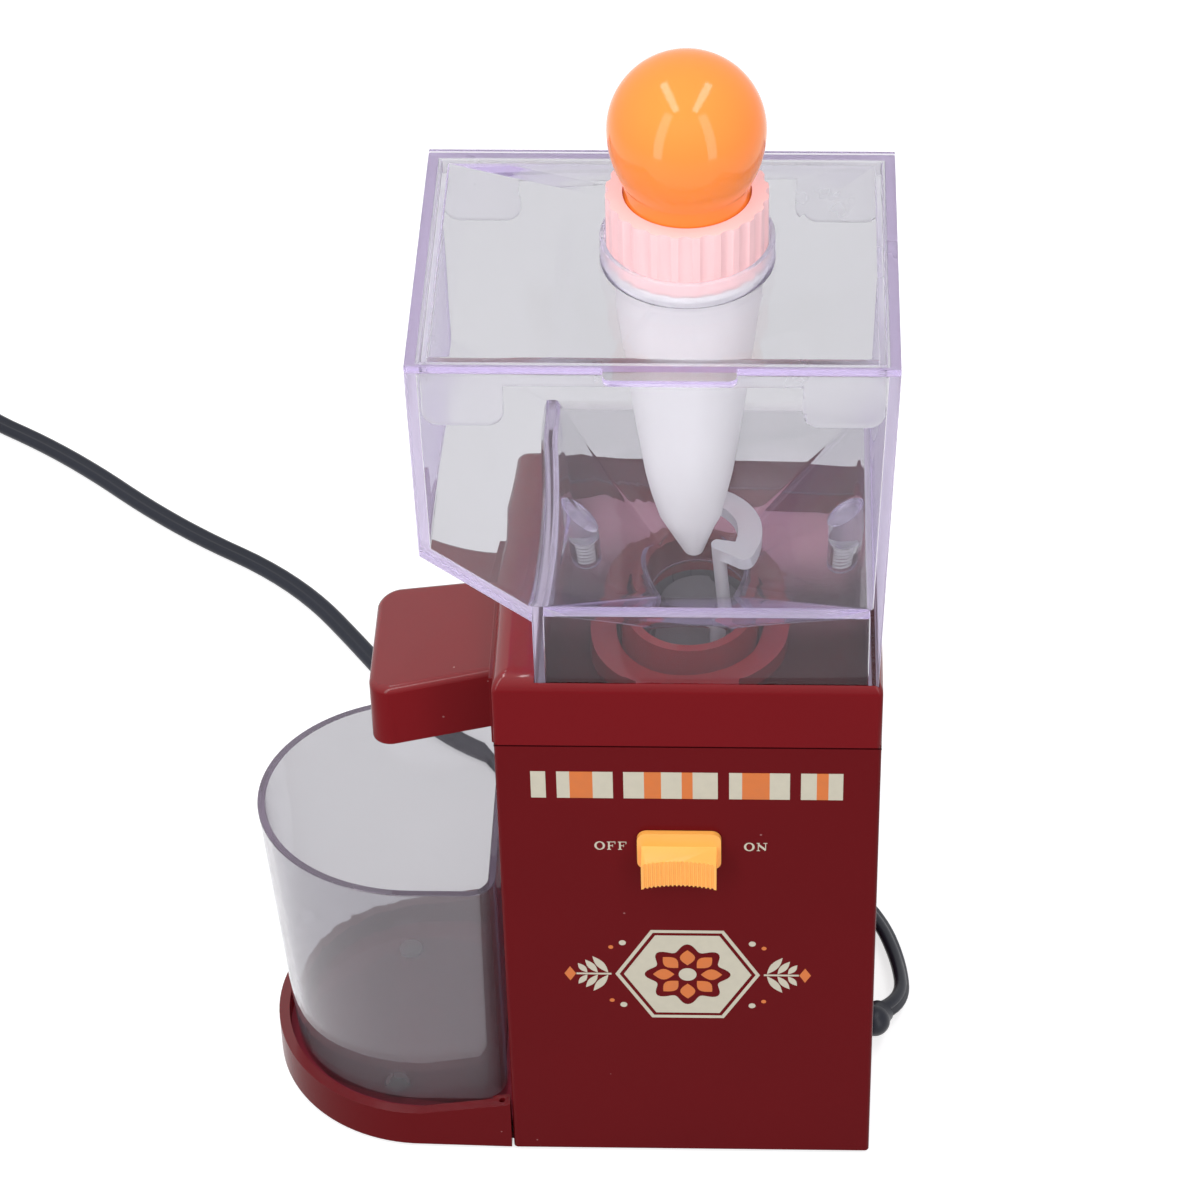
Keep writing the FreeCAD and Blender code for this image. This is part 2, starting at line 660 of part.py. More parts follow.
# switch, spout, tray, cup
switch_z = base_z + size.switch_height
spout_top_z = seam_z + size.spout_top
spout_foot_z = spout_top_z - size.spout_height
spout_root_x = left_x - 0.1
flange_x = spout_root_x - size.spout_flange
spout_end_x = left_x - size.spout_reach
tray_x = left_x - size.tray_centre
tray_edge_x = left_x - size.tray_gap
tray_floor_z = base_z + size.tray_floor
tray_radius = axis_y - size.tray_inset
cup_flat_x = left_x - size.cup_flat
cup_round_x = cup_flat_x - size.cup_straight
cup_rim_z = tray_floor_z + size.cup_height
cup_foot_reach = tray_radius - size.tray_wall - size.cup_foot_gap
cup_foot_half = cup_foot_reach - size.cup_narrowing
cup_rim_reach = cup_foot_reach + size.cup_end_flare
cup_rim_half = cup_foot_half + size.cup_side_flare

# the origin stands under the middle of the machine's outline
leftmost = cup_round_x - cup_rim_reach
origin_x = (leftmost + rim_right) / 2
origin_y = (rim_back - size.grip_reach) / 2

corner_posts = [
    (side * (right_x - wall - size.boss_inset), depth)
    for side in (-1, 1)
    for depth in (wall + size.boss_inset, back_y - wall - size.boss_inset)
]
tie_points = [
    (size.tie_radius * cosine(angle), axis_y + size.tie_radius * sine(angle))
    for angle in (size.tie_angle, -size.tie_angle, 180 - size.tie_angle, size.tie_angle - 180)
]
screw_radius = size.tie_screw_radius
slot_middle = size.switch_rest + size.switch_travel / 2
coil_centre = (-285.0, 331.0)
tie_thickness = 1.0
pilot_radius = size.tie_screw_radius + size.running_gap


# --------------------------------------------------------------------------------------------
# Housing
# --------------------------------------------------------------------------------------------
def vent_slots():
    """Upright slots through the back wall, set out from the middle one."""
    start_x = -size.vent_pitch * (size.vent_count - 1) / 2
    body = slab(
        "vents",
        "XZ",
        [
            (start_x - size.vent_width / 2, base_z + size.vent_height - size.vent_length / 2),
            (start_x + size.vent_width / 2, base_z + size.vent_height - size.vent_length / 2),
            (start_x + size.vent_width / 2, base_z + size.vent_height + size.vent_length / 2),
            (start_x - size.vent_width / 2, base_z + size.vent_height + size.vent_length / 2),
        ],
        back_y - wall - 1,
        wall + 2,
    )
    slot = body.Tip
    pattern = body.newObject("PartDesign::LinearPattern", "vent_row")
    pattern.Originals = [slot]
    pattern.Direction = (next(f for f in body.Origin.OriginFeatures if f.Role == "X_Axis"), [""])
    tie(pattern, Length=size.vent_pitch * (size.vent_count - 1), Occurrences=size.vent_count)
    body.Tip = pattern
    return body


def make_lower_housing():
    outer = block("lower_outer", (left_x, 0, base_z), (right_x, back_y, seam_z))
    outer = rounded("lower_corners", outer, size.corner_round, lambda edge: runs_along(edge, "z"))
    room = block(
        "lower_room", (left_x + wall, wall, base_z - 1), (right_x - wall, back_y - wall, seam_z + 1)
    )
    shell = cut("lower_shell", outer, room)
    bosses = []
    holes = []
    for index, (x, y) in enumerate(corner_posts):
        boss_foot = seam_z - size.boss_drop - size.boss_length
        bosses.append(post(f"seam_boss_{index}", (x, y, boss_foot), size.boss_radius, size.boss_length))
        holes.append(post(f"seam_hole_{index}", (x, y, boss_foot - 1), size.tie_hole, size.boss_length + 2))
        foot = base_z + size.base_thickness
        bosses.append(post(f"base_boss_{index}", (x, y, foot), size.boss_radius, size.base_boss_length))
        holes.append(post(f"base_pilot_{index}", (x, y, foot - 1), pilot_radius, size.base_boss_length - 2))
    for side in (-1, 1):
        x = slot_middle + side * size.switch_screw_span / 2
        bosses.append(
            post(f"switch_peg_{side}", (x, wall - 0.5, switch_z), 2.6, size.peg_length + 0.5, "y")
        )
        holes.append(post(f"switch_pilot_{side}", (x, 1.2, switch_z), 1.05, size.peg_length + wall, "y"))
    for level in (0, 1):
        z = base_z + size.board_height + level * size.board_span
        bosses.append(
            post(f"board_peg_{level}", (left_x + wall - 0.5, axis_y, z), 2.4, size.board_gap + 0.5, "x")
        )
        bosses.append(
            post(f"board_pin_{level}", (left_x + wall, axis_y, z), 1.2, size.board_gap + 2.4, "x")
        )
    slot = block(
        "switch_slot",
        (
            size.switch_rest - size.stem_half - size.loose_gap,
            -1,
            switch_z - size.stem_rise - size.loose_gap,
        ),
        (
            size.switch_rest + size.switch_travel + size.stem_half + size.loose_gap,
            wall + 1,
            switch_z + size.stem_rise + size.loose_gap,
        ),
    )
    cord_hole = post(
        "cord_hole",
        (right_x - wall - 1, size.exit_depth, base_z + size.exit_height),
        size.grommet_radius + size.running_gap,
        wall + 2,
        "x",
    )
    neck_notch = block(
        "neck_notch",
        (left_x - 1, size.neck_inset - size.loose_gap, base_z - 1),
        (
            left_x + wall + 1,
            back_y - size.neck_inset + size.loose_gap,
            base_z + size.base_thickness + size.loose_gap,
        ),
    )
    duct_notch = block(
        "duct_notch",
        (left_x - 1, axis_y - size.duct_width / 2 - size.loose_gap, chamber_foot - size.loose_gap),
        (left_x + wall + 1, axis_y + size.duct_width / 2 + size.loose_gap, seam_z + 1),
    )
    solid = fuse("lower_with_bosses", shell, *bosses)
    return node(
        "lower_housing",
        cut("lower_done", solid, slot, cord_hole, neck_notch, duct_notch, vent_slots(), *holes),
    )


def make_upper_housing():
    outer = block("upper_outer", (left_x, 0, seam_z), (right_x, back_y, top_z))
    outer = rounded("upper_corners", outer, size.corner_round, lambda edge: runs_along(edge, "z"))
    outer = rounded(
        "upper_shoulder",
        outer,
        size.shoulder_round,
        lambda edge: runs_along(
            edge, "y"
        ) and middle(edge).x < float(left_x) + 1 and middle(edge).z > float(top_z) - 1,
    )
    main_room = block(
        "upper_room", (left_x + wall, wall, deck_z), (right_x - wall, back_y - wall, skirt_foot)
    )
    shoulder_room = block(
        "shoulder_room",
        (left_x + wall, wall, skirt_foot - 1),
        (skirt_left - size.seat_gap - wall, back_y - wall, top_z - wall),
    )
    pocket = block(
        "skirt_pocket",
        (skirt_left - size.seat_gap, skirt_front - size.seat_gap, skirt_foot),
        (skirt_right + size.seat_gap, skirt_back + size.seat_gap, top_z + 1),
    )
    shell = cut("upper_shell", outer, main_room, shoulder_room, pocket)
    platform = fuse(
        "platform",
        post("platform_disc", (0, axis_y, deck_z - 1), size.platform_radius, size.platform_height + 1),
        block(
            "platform_stem",
            (-size.stem_width / 2, wall - 0.5, deck_z - 1),
            (size.stem_width / 2, axis_y - size.platform_well_radius - 2, deck_z + size.platform_height),
        ),
    )
    well = post("platform_well", (0, axis_y, deck_z), size.platform_well_radius, size.platform_height + 1)
    platform = cut("platform_ring", platform, well)
    ring = post(
        "throat_ring",
        (0, axis_y, deck_z - 1),
        throat_bore + size.throat_ring_wall,
        size.throat_ring_height + 1,
    )
    bosses = []
    holes = [post("throat_hole", (0, axis_y, seam_z - 1), throat_bore, size.band_height)]
    for index, (x, y) in enumerate(corner_posts):
        foot = seam_z - size.boss_drop
        bosses.append(
            post(f"deck_boss_{index}", (x, y, foot), size.boss_inset - size.loose_gap, size.boss_drop + 1)
        )
        holes.append(post(f"deck_pilot_{index}", (x, y, foot - 1), pilot_radius, size.boss_drop))
    for index, (x, y) in enumerate(tie_points):
        holes.append(post(f"tie_pilot_{index}", (x, y, seam_z - 1), pilot_radius, size.tie_grip + 1.5))
    gap = size.seat_gap
    tongue = cut(
        "tongue",
        block(
            "tongue_outer",
            (left_x + wall + gap, wall + gap, seam_z - size.tongue_height),
            (right_x - wall - gap, back_y - wall - gap, seam_z + 1),
        ),
        block(
            "tongue_inner",
            (
                left_x + wall + gap + size.tongue_wall,
                wall + gap + size.tongue_wall,
                seam_z - size.tongue_height - 1,
            ),
            (right_x - wall - gap - size.tongue_wall, back_y - wall - gap - size.tongue_wall, seam_z),
        ),
        block(
            "tongue_gap",
            (left_x, axis_y - size.duct_width / 2 - 1, seam_z - size.tongue_height - 1),
            (left_x + wall + 5, axis_y + size.duct_width / 2 + 1, seam_z),
        ),
    )
    solid = fuse("upper_with_ring", shell, platform, ring, tongue, *bosses)
    return node("upper_housing", cut("upper_done", solid, *holes))


# --------------------------------------------------------------------------------------------
# Hopper, lid and oil dropper
# --------------------------------------------------------------------------------------------
def right_side_at(z):
    return skirt_right + size.side_flare * (z - top_z) / size.hopper_rise


def depth_lean_at(z):
    return size.depth_flare * (z - top_z) / size.hopper_rise


def make_hopper():
    thick = size.hopper_wall
    across = slab(
        "hopper_front_outline",
        "XZ",
        [
            (skirt_left, skirt_foot),
            (skirt_right, skirt_foot),
            (skirt_right, top_z),
            (rim_right, rim_z),
            (rim_left, rim_z),
            (bin_left, slope_top_z),
            (skirt_left, slope_foot_z),
        ],
        rim_front - 1,
        rim_back - rim_front + 2,
    )
    deep = slab(
        "hopper_side_outline",
        "YZ",
        [
            (skirt_front, skirt_foot),
            (skirt_back, skirt_foot),
            (skirt_back, top_z),
            (rim_back, rim_z),
            (rim_front, rim_z),
            (skirt_front, top_z),
        ],
        rim_left - 1,
        rim_right - rim_left + 2,
    )
    outer = common("hopper_outer", across, deep)
    slope_run = size.hopper_overhang
    slope_length = root(slope_run * slope_run + size.shoulder_height * size.shoulder_height)
    slope_lift = thick * slope_length / slope_run
    slope_ratio = size.shoulder_height / slope_run
    rim_lean = depth_lean_at(funnel_rim_z)
    bin_across = slab(
        "bin_front_outline",
        "XZ",
        [
            (skirt_left - (funnel_rim_z - slope_foot_z - slope_lift) / slope_ratio, funnel_rim_z),
            (right_side_at(funnel_rim_z) - thick, funnel_rim_z),
            (rim_right - thick, rim_z + 1),
            (rim_left + thick, rim_z + 1),
            (bin_left + thick, slope_foot_z + slope_lift + (slope_run - thick) * slope_ratio),
        ],
        rim_front - 1,
        rim_back - rim_front + 2,
    )
    bin_deep = slab(
        "bin_side_outline",
        "YZ",
        [
            (skirt_front - rim_lean + thick, funnel_rim_z),
            (skirt_back + rim_lean - thick, funnel_rim_z),
            (rim_back - thick, rim_z + 1),
            (rim_front + thick, rim_z + 1),
        ],
        rim_left - 1,
        rim_right - rim_left + 2,
    )
    bin_room = common("bin_room", bin_across, bin_deep)
    half_square = size.throat_radius / math.sqrt(2)
    foot_square = (-half_square, half_square, axis_y - half_square, axis_y + half_square)
    funnel_mouth = (
        skirt_left + thick,
        right_side_at(funnel_rim_z) - thick,
        skirt_front - rim_lean + thick,
        skirt_back + rim_lean - thick,
    )
    funnel_room = frustum_up("funnel_room", throat_z, funnel_rim_z, foot_square, funnel_mouth)
    skirt_room = (skirt_left + thick, skirt_right - thick, skirt_front + thick, skirt_back - thick)
    under_top = funnel_rim_z - size.funnel_thickness
    under_block = block(
        "under_block", (skirt_room[0], skirt_room[2], skirt_foot - 1), (
            skirt_room[1], skirt_room[3], under_top
        )
    )
    under_funnel = frustum_up(
        "under_funnel", throat_z - size.funnel_thickness, under_top, foot_square, skirt_room
    )
    under_room = cut("under_room", under_block, under_funnel)
    shell = cut("hopper_shell", outer, bin_room, funnel_room, under_room)
    inner_parts = [post("collar_tube", (0, axis_y, collar_foot), collar_radius, size.collar_length + 6)]
    holes = [post("throat_bore", (0, axis_y, collar_foot - 1), size.throat_radius, size.collar_length + 20)]
    pillar_foot = top_z - size.pillar_drop
    for side, x in ((-1, skirt_left + size.pillar_inset), (1, skirt_right - size.pillar_inset)):
        inner_parts.append(
            post(f"pillar_{side}", (x, axis_y, pillar_foot), size.pillar_radius, funnel_rim_z - pillar_foot)
        )
        holes.append(
            post(
                f"pillar_hole_{side}",
                (x, axis_y, pillar_foot - 1),
                size.pillar_hole,
                size.pillar_hole_depth + 1,
            )
        )
    second_room = frustum_up("funnel_trim", throat_z, funnel_rim_z, foot_square, funnel_mouth)
    inner_solid = cut("hopper_fittings", fuse("hopper_posts", *inner_parts), second_room)
    return node("hopper", cut("hopper_done", fuse("hopper_whole", shell, inner_solid), *holes))


def make_lid():
    inset = size.hopper_wall + size.lid_gap
    frame = (rim_left + inset, rim_right - inset, rim_front + inset, rim_back - inset)
    plate = block("lid_plate", (rim_left, rim_front, rim_z), (rim_right, rim_back, plate_top))
    skirt = cut(
        "lid_skirt",
        block(
            "lid_skirt_outer",
            (frame[0], frame[2], rim_z - size.lid_skirt_depth),
            (frame[1], frame[3], rim_z + 0.5),
        ),
        block(
            "lid_skirt_inner",
            (
                frame[0] + size.lid_skirt_wall,
                frame[2] + size.lid_skirt_wall,
                rim_z - size.lid_skirt_depth - 1,
            ),
            (frame[1] - size.lid_skirt_wall, frame[3] - size.lid_skirt_wall, rim_z),
        ),
    )
    tabs = []
    for side, start_x in (("left", frame[0]), ("right", frame[1] - size.tab_width)):
        for depth, start_y in (("front", frame[2]), ("back", frame[3] - size.lid_skirt_wall)):
            tab = block(
                f"tab_{side}_{depth}",
                (start_x, start_y, rim_z - size.tab_depth),
                (start_x + size.tab_width, start_y + size.lid_skirt_wall, rim_z + 0.5),
            )
            tabs.append(
                rounded(
                    f"tab_round_{side}_{depth}",
                    tab,
                    size.tab_round,
                    lambda edge: runs_along(edge, "y") and middle(edge).z < float(
                        rim_z - size.tab_depth
                    ) + 0.1,
                )
            )
    lip = rounded(
        "lid_lip",
        block(
            "lip_block",
            (-size.lip_left, rim_front - size.lip_reach, rim_z),
            (-size.lip_left + size.lip_width, rim_front + 1, plate_top),
        ),
        2.0,
        lambda edge: runs_along(edge, "z") and middle(edge).y < float(rim_front) - 1,
    )
    seat_inner = size.collar_outer + size.ring_gap
    seat = cut(
        "dropper_seat",
        post(
            "seat_outer",
            (0, axis_y, rim_z + 0.5),
            seat_inner + size.seat_wall,
            size.lid_thickness - 0.5 + size.seat_height,
        ),
        post("seat_inner", (0, axis_y, plate_top), seat_inner, size.seat_height + 1),
    )
    hole = post(
        "dropper_hole", (0, axis_y, rim_z - 1), size.cone_radius + size.loose_gap, size.lid_thickness + 2
    )
    return node("lid", cut("lid_done", fuse("lid_whole", plate, skirt, lip, seat, *tabs), hole))


def make_dropper():
    thin = size.dropper_wall
    cone = turned(
        "cone_profile",
        [
            (size.neck_radius - thin, neck_top),
            (size.neck_radius, neck_top),
            (size.neck_radius, flange_top),
            (size.collar_outer - 0.2, flange_top),
            (size.collar_outer - 0.2, plate_top),
            (size.cone_radius, plate_top),
            (size.cone_radius - 0.2, plate_top - size.cone_shoulder_depth),
            (size.cone_waist_radius, plate_top - size.cone_waist_depth),
            (size.cone_nose_radius, plate_top - size.cone_nose_depth),
            (size.tip_radius, plate_top - size.cone_length),
            (size.drip_radius, plate_top - size.cone_length),
            (size.drip_radius, plate_top - size.cone_length + 2 * thin),
            (size.cone_nose_radius - thin, plate_top - size.cone_nose_depth + thin),
            (size.cone_waist_radius - thin, plate_top - size.cone_waist_depth + 1),
            (size.neck_radius - thin, plate_top - size.cone_shoulder_depth + 1),
        ],
        (0, axis_y, 0),
    )
    node("dropper_cone", cone)
    ring = turned(
        "ring_profile",
        [
            (size.neck_radius + size.ring_gap, ring_foot),
            (size.collar_outer, ring_foot),
            (size.collar_outer, ring_top),
            (size.bulb_neck + size.ring_gap, ring_top),
            (size.bulb_neck + size.ring_gap, ring_top - size.ring_lip),
            (size.neck_radius + size.ring_gap, ring_top - size.ring_lip),
        ],
        (0, axis_y, 0),
    )
    reach = size.collar_outer - size.flute_depth + size.flute_radius
    flutes = []
    for index in range(int(float(size.flute_count))):
        angle = 360 * index / size.flute_count
        foot = (reach * cosine(angle), axis_y + reach * sine(angle), ring_foot - 1)
        flutes.append(post(f"flute_{index}", foot, size.flute_radius, size.collar_height + 2))
    node("dropper_ring", cut("ring_done", ring, *flutes))
    flange_height = ring_top - size.ring_lip - size.loose_gap - neck_top
    inner = size.bulb_neck - thin
    skin = fuse(
        "bulb_outer",
        ball("bulb_ball", (0, axis_y, bulb_z), size.bulb_radius),
        post("bulb_neck", (0, axis_y, neck_top), size.bulb_neck, bulb_z - neck_top),
        post("bulb_flange", (0, axis_y, neck_top), size.neck_radius - 0.1, flange_height),
    )
    air = fuse(
        "bulb_inner",
        ball("bulb_air", (0, axis_y, bulb_z), size.bulb_radius - thin),
        post("bulb_mouth", (0, axis_y, neck_top - 1), inner, bulb_z - neck_top),
    )
    node("dropper_bulb", cut("bulb_done", skin, air))


# --------------------------------------------------------------------------------------------
# Agitator, burrs, chamber and spout
# --------------------------------------------------------------------------------------------
def make_agitator():
    foot = throat_z + size.hook_rise
    outer = size.hook_radius + size.hook_width / 2
    start = float(size.hook_end_angle)
    band = cut(
        "hook_band",
        post(
            "hook_sector", (0, axis_y, foot), outer, size.hook_thickness, angle=size.hook_sweep, turn=start
        ),
        post("hook_inside", (0, axis_y, foot - 1), outer - size.hook_width, size.hook_thickness + 2),
    )
    free_end = size.hook_end_angle + size.hook_sweep
    elbow = (
        size.hook_radius * cosine(size.hook_end_angle),
        axis_y + size.hook_radius * sine(size.hook_end_angle),
    )
    tip = (size.hook_radius * cosine(free_end), axis_y + size.hook_radius * sine(free_end))
    peg = (size.peg_offset * cosine(size.peg_angle), axis_y + size.peg_offset * sine(size.peg_angle))
    run_x, run_y = peg[0] - elbow[0], peg[1] - elbow[1]
    run = root(run_x * run_x + run_y * run_y)
    side_x, side_y = run_y / run, -run_x / run
    half = size.hook_width / 2
    arm = slab(
        "hook_arm",
        "XY",
        [
            (elbow[0] + side_x * half, elbow[1] + side_y * half),
            (peg[0] + side_x * size.peg_radius, peg[1] + side_y * size.peg_radius),
            (peg[0] - side_x * size.peg_radius, peg[1] - side_y * size.peg_radius),
            (elbow[0] - side_x * half, elbow[1] - side_y * half),
        ],
        foot,
        size.hook_thickness,
    )
    peg_foot = rotor_top - size.peg_depth
    return node(
        "agitator",
        fuse(
            "agitator_done",
            band,
            arm,
            post("hook_tip", (tip[0], tip[1], foot), half, size.hook_thickness),
            post("hook_elbow", (elbow[0], elbow[1], foot), half, size.hook_thickness),
            post(
                "hook_peg",
                (peg[0], peg[1], peg_foot),
                size.peg_radius,
                foot + size.hook_thickness - peg_foot,
            ),
        ),
    )


def rotor_radius_at(z):
    share = (z - rotor_foot - size.burr_land) / (size.rotor_height - size.burr_land)
    return size.rotor_foot_radius - (size.rotor_foot_radius - size.rotor_top_radius) * share


def make_burrs():
    bore = size.shaft_radius + size.running_gap
    bore_top = rotor_top - size.rotor_cap
    rotor = turned(
        "rotor_profile",
        [
            (bore, rotor_foot),
            (size.rotor_foot_radius, rotor_foot),
            (size.rotor_foot_radius, rotor_foot + size.burr_land),
            (size.rotor_top_radius, rotor_top),
            (0, rotor_top),
            (0, bore_top),
            (bore, bore_top),
        ],
        (0, axis_y, 0),
    )
    gap_root = size.rotor_foot_radius - size.burr_tooth_depth
    gap = [(gap_root, 0), (size.rotor_foot_radius + 1, -1.5), (size.rotor_foot_radius + 1, 1.5)]
    repeated_round(rotor, gap, rotor_foot - 1, size.rotor_height + 2, size.burr_tooth_count, "rotor")
    cuts = []
    for index in range(int(float(size.feed_flute_count))):
        angle = 360 * (index + 0.5) / size.feed_flute_count
        reach = size.rotor_top_radius + 2.2
        foot = (reach * cosine(angle), axis_y + reach * sine(angle), rotor_foot + 6)
        cuts.append(post(f"feed_flute_{index}", foot, 4.2, size.rotor_height))
    peg = (size.peg_offset * cosine(size.peg_angle), axis_y + size.peg_offset * sine(size.peg_angle))
    cuts.append(
        post(
            "peg_socket",
            (peg[0], peg[1], rotor_top - size.peg_depth),
            size.peg_radius + size.running_gap,
            size.peg_depth + 1,
        )
    )
    node("burr_rotor", cut("rotor_done", rotor, *cuts))
    mouth_foot = rotor_radius_at(burr_foot) + size.burr_gap
    ring = turned(
        "burr_ring_profile",
        [
            (mouth_foot, burr_foot),
            (size.burr_ring_outer, burr_foot),
            (size.burr_ring_outer, seam_z),
            (size.burr_ring_mouth, seam_z),
        ],
        (0, axis_y, 0),
    )
    ring_gap = [(mouth_foot - 1, -1.5), (mouth_foot + size.burr_tooth_depth, 0), (mouth_foot - 1, 1.5)]
    repeated_round(
        ring, ring_gap, burr_foot - 1, size.burr_ring_height + 2, size.burr_tooth_count, "burr_ring"
    )
    node("burr_ring", ring)


def make_chamber():
    gap = size.running_gap
    duct_foot = chamber_foot
    outer = fuse(
        "chamber_outer",
        post("chamber_body", (0, axis_y, chamber_foot), size.chamber_radius, size.chamber_depth),
        post(
            "chamber_rim",
            (0, axis_y, seam_z - size.chamber_flange),
            size.chamber_flange_radius,
            size.chamber_flange,
        ),
        post("seal_boss", (0, axis_y, seal_foot), size.seal_radius + size.case_wall, size.seal_height + 1),
        block(
            "duct_outer",
            (flange_x, axis_y - size.duct_width / 2, duct_foot),
            (-size.chamber_radius / 2, axis_y + size.duct_width / 2, duct_foot + size.duct_height),
        ),
    )
    inner_half = size.duct_width / 2 - size.duct_wall
    tools = [
        post("burr_bore", (0, axis_y, burr_foot), size.burr_ring_outer + gap, size.burr_ring_height + 1),
        post("paste_room", (0, axis_y, floor_top), size.burr_ring_outer - 1.3, size.chamber_depth),
        post("seal_pocket", (0, axis_y, seal_foot - 1), size.seal_radius + gap, size.seal_height + 1),
        post(
            "shaft_hole",
            (0, axis_y, chamber_foot - 1),
            size.shaft_radius + size.loose_gap,
            size.chamber_depth,
        ),
        block(
            "duct_inner",
            (flange_x - 1, axis_y - inner_half, floor_top),
            (-size.chamber_radius / 2, axis_y + inner_half, duct_foot + size.duct_height - size.duct_wall),
        ),
    ]
    for index, (x, y) in enumerate(tie_points):
        tools.append(
            post(
                f"chamber_tie_{index}",
                (x, y, seam_z - size.chamber_flange - 1),
                size.tie_hole,
                size.chamber_flange + 2,
            )
        )
    node("grinding_chamber", cut("chamber_done", outer, *tools))
    seal = turned(
        "seal_profile",
        [
            (size.shaft_radius + gap, seal_foot),
            (size.seal_radius, seal_foot),
            (size.seal_radius, chamber_foot),
            (size.shaft_radius + 1.6, chamber_foot),
            (size.shaft_radius + gap, chamber_foot - 1.2),
        ],
        (0, axis_y, 0),
    )
    node("shaft_seal", seal)


def make_spout():
    def walls(name, inset, root_x, end_x, top_drop, foot_drop):
        near_half = size.spout_root_width / 2 - inset
        far_half = size.spout_end_width / 2 - inset
        near = (axis_y - near_half, axis_y + near_half, spout_foot_z - foot_drop, spout_top_z - top_drop)
        far_top = spout_top_z - size.spout_fall
        far = (
            axis_y - far_half,
            axis_y + far_half,
            far_top - size.spout_height - foot_drop,
            far_top - top_drop,
        )
        return frustum_left(name, root_x, end_x, near, far)

    outer = walls("spout_outer", 0, spout_root_x, spout_end_x, 0, 0)
    outer = rounded(
        "spout_corners",
        outer,
        size.spout_round,
        lambda edge: middle(edge).x < float(spout_end_x) + 0.5 and runs_along(edge, "z"),
    )
    crown = float(spout_top_z)
    outer = rounded(
        "spout_edges",
        outer,
        size.spout_edge,
        lambda edge: min(v.Point.z for v in edge.Vertexes) > crown - float(size.spout_fall) - 1
        and middle(edge).x < float(spout_root_x) - 1,
    )
    hollow = walls(
        "spout_room", size.spout_wall, flange_x, spout_end_x + size.spout_wall, size.spout_wall, 5
    )
    hollow = rounded(
        "spout_room_corners",
        hollow,
        size.spout_round - size.spout_wall,
        lambda edge: middle(edge).x < float(spout_end_x + size.spout_wall) + 0.5 and runs_along(edge, "z"),
    )
    half = size.spout_root_width / 2 + size.spout_flange_margin
    flange = block(
        "spout_plate",
        (flange_x, axis_y - half, spout_foot_z - size.spout_flange_margin),
        (spout_root_x, axis_y + half, spout_top_z + size.spout_plate_lift),
    )
    window = block(
        "spout_window",
        (flange_x - 0.1, axis_y - size.duct_width / 2 - size.running_gap, chamber_foot - size.running_gap),
        (
            left_x,
            axis_y + size.duct_width / 2 + size.running_gap,
            chamber_foot + size.duct_height + size.running_gap,
        ),
    )
    return node("spout", cut("spout_done", fuse("spout_whole", outer, flange), hollow, window))


# --------------------------------------------------------------------------------------------
# Gear train
# --------------------------------------------------------------------------------------------
def involute(angle):
    return math.tan(angle) - angle


def gear(teeth, module, foot, height, centre_x, turn=0.0):
    """A spur gear with involute flanks, one tooth at the given angle from +x."""
    teeth, module = int(float(teeth)), float(module)
    pressure = math.radians(float(size.pressure_angle))
    pitch_radius = module * teeth / 2
    base_radius = pitch_radius * math.cos(pressure)
    tip_radius = pitch_radius + module
    root_radius = pitch_radius - 1.25 * module
    half_at_pitch = (math.pi * module - float(size.backlash)) / (4 * pitch_radius)

    def half_angle(radius):
        at_radius = math.acos(min(1.0, base_radius / max(radius, base_radius)))
        return half_at_pitch + involute(pressure) - involute(at_radius)

    low = max(base_radius, root_radius)
    radii = [root_radius] + [low + (tip_radius - low) * step / 3 for step in range(4)]
    radii = sorted(set(radii))
    points = []
    for tooth in range(teeth):
        middle_angle = math.radians(turn) + 2 * math.pi * tooth / teeth
        flank = [(radius, half_angle(radius)) for radius in radii]
        for radius, half in flank:
            points.append((radius, middle_angle - half))
        for radius, half in reversed(flank):
            points.append((radius, middle_angle + half))
    centre = FreeCAD.Vector(float(centre_x), float(axis_y), float(foot))
    corners = [
        centre + FreeCAD.Vector(
            radius * math.cos(angle), radius * math.sin(angle), 0
        ) for radius, angle in points
    ]
    face = Part.Face(Part.makePolygon(corners + corners[:1]))
    return face.extrude(FreeCAD.Vector(0, 0, float(height)))


def d_flat(name, radius, foot, height, gap=0.0):
    """What a flat takes off a shaft, or fills in its bore."""
    depth = size.shaft_radius * 0.8 + gap
    return block(name, (-radius, axis_y + depth, foot), (radius, axis_y + radius, foot + height))


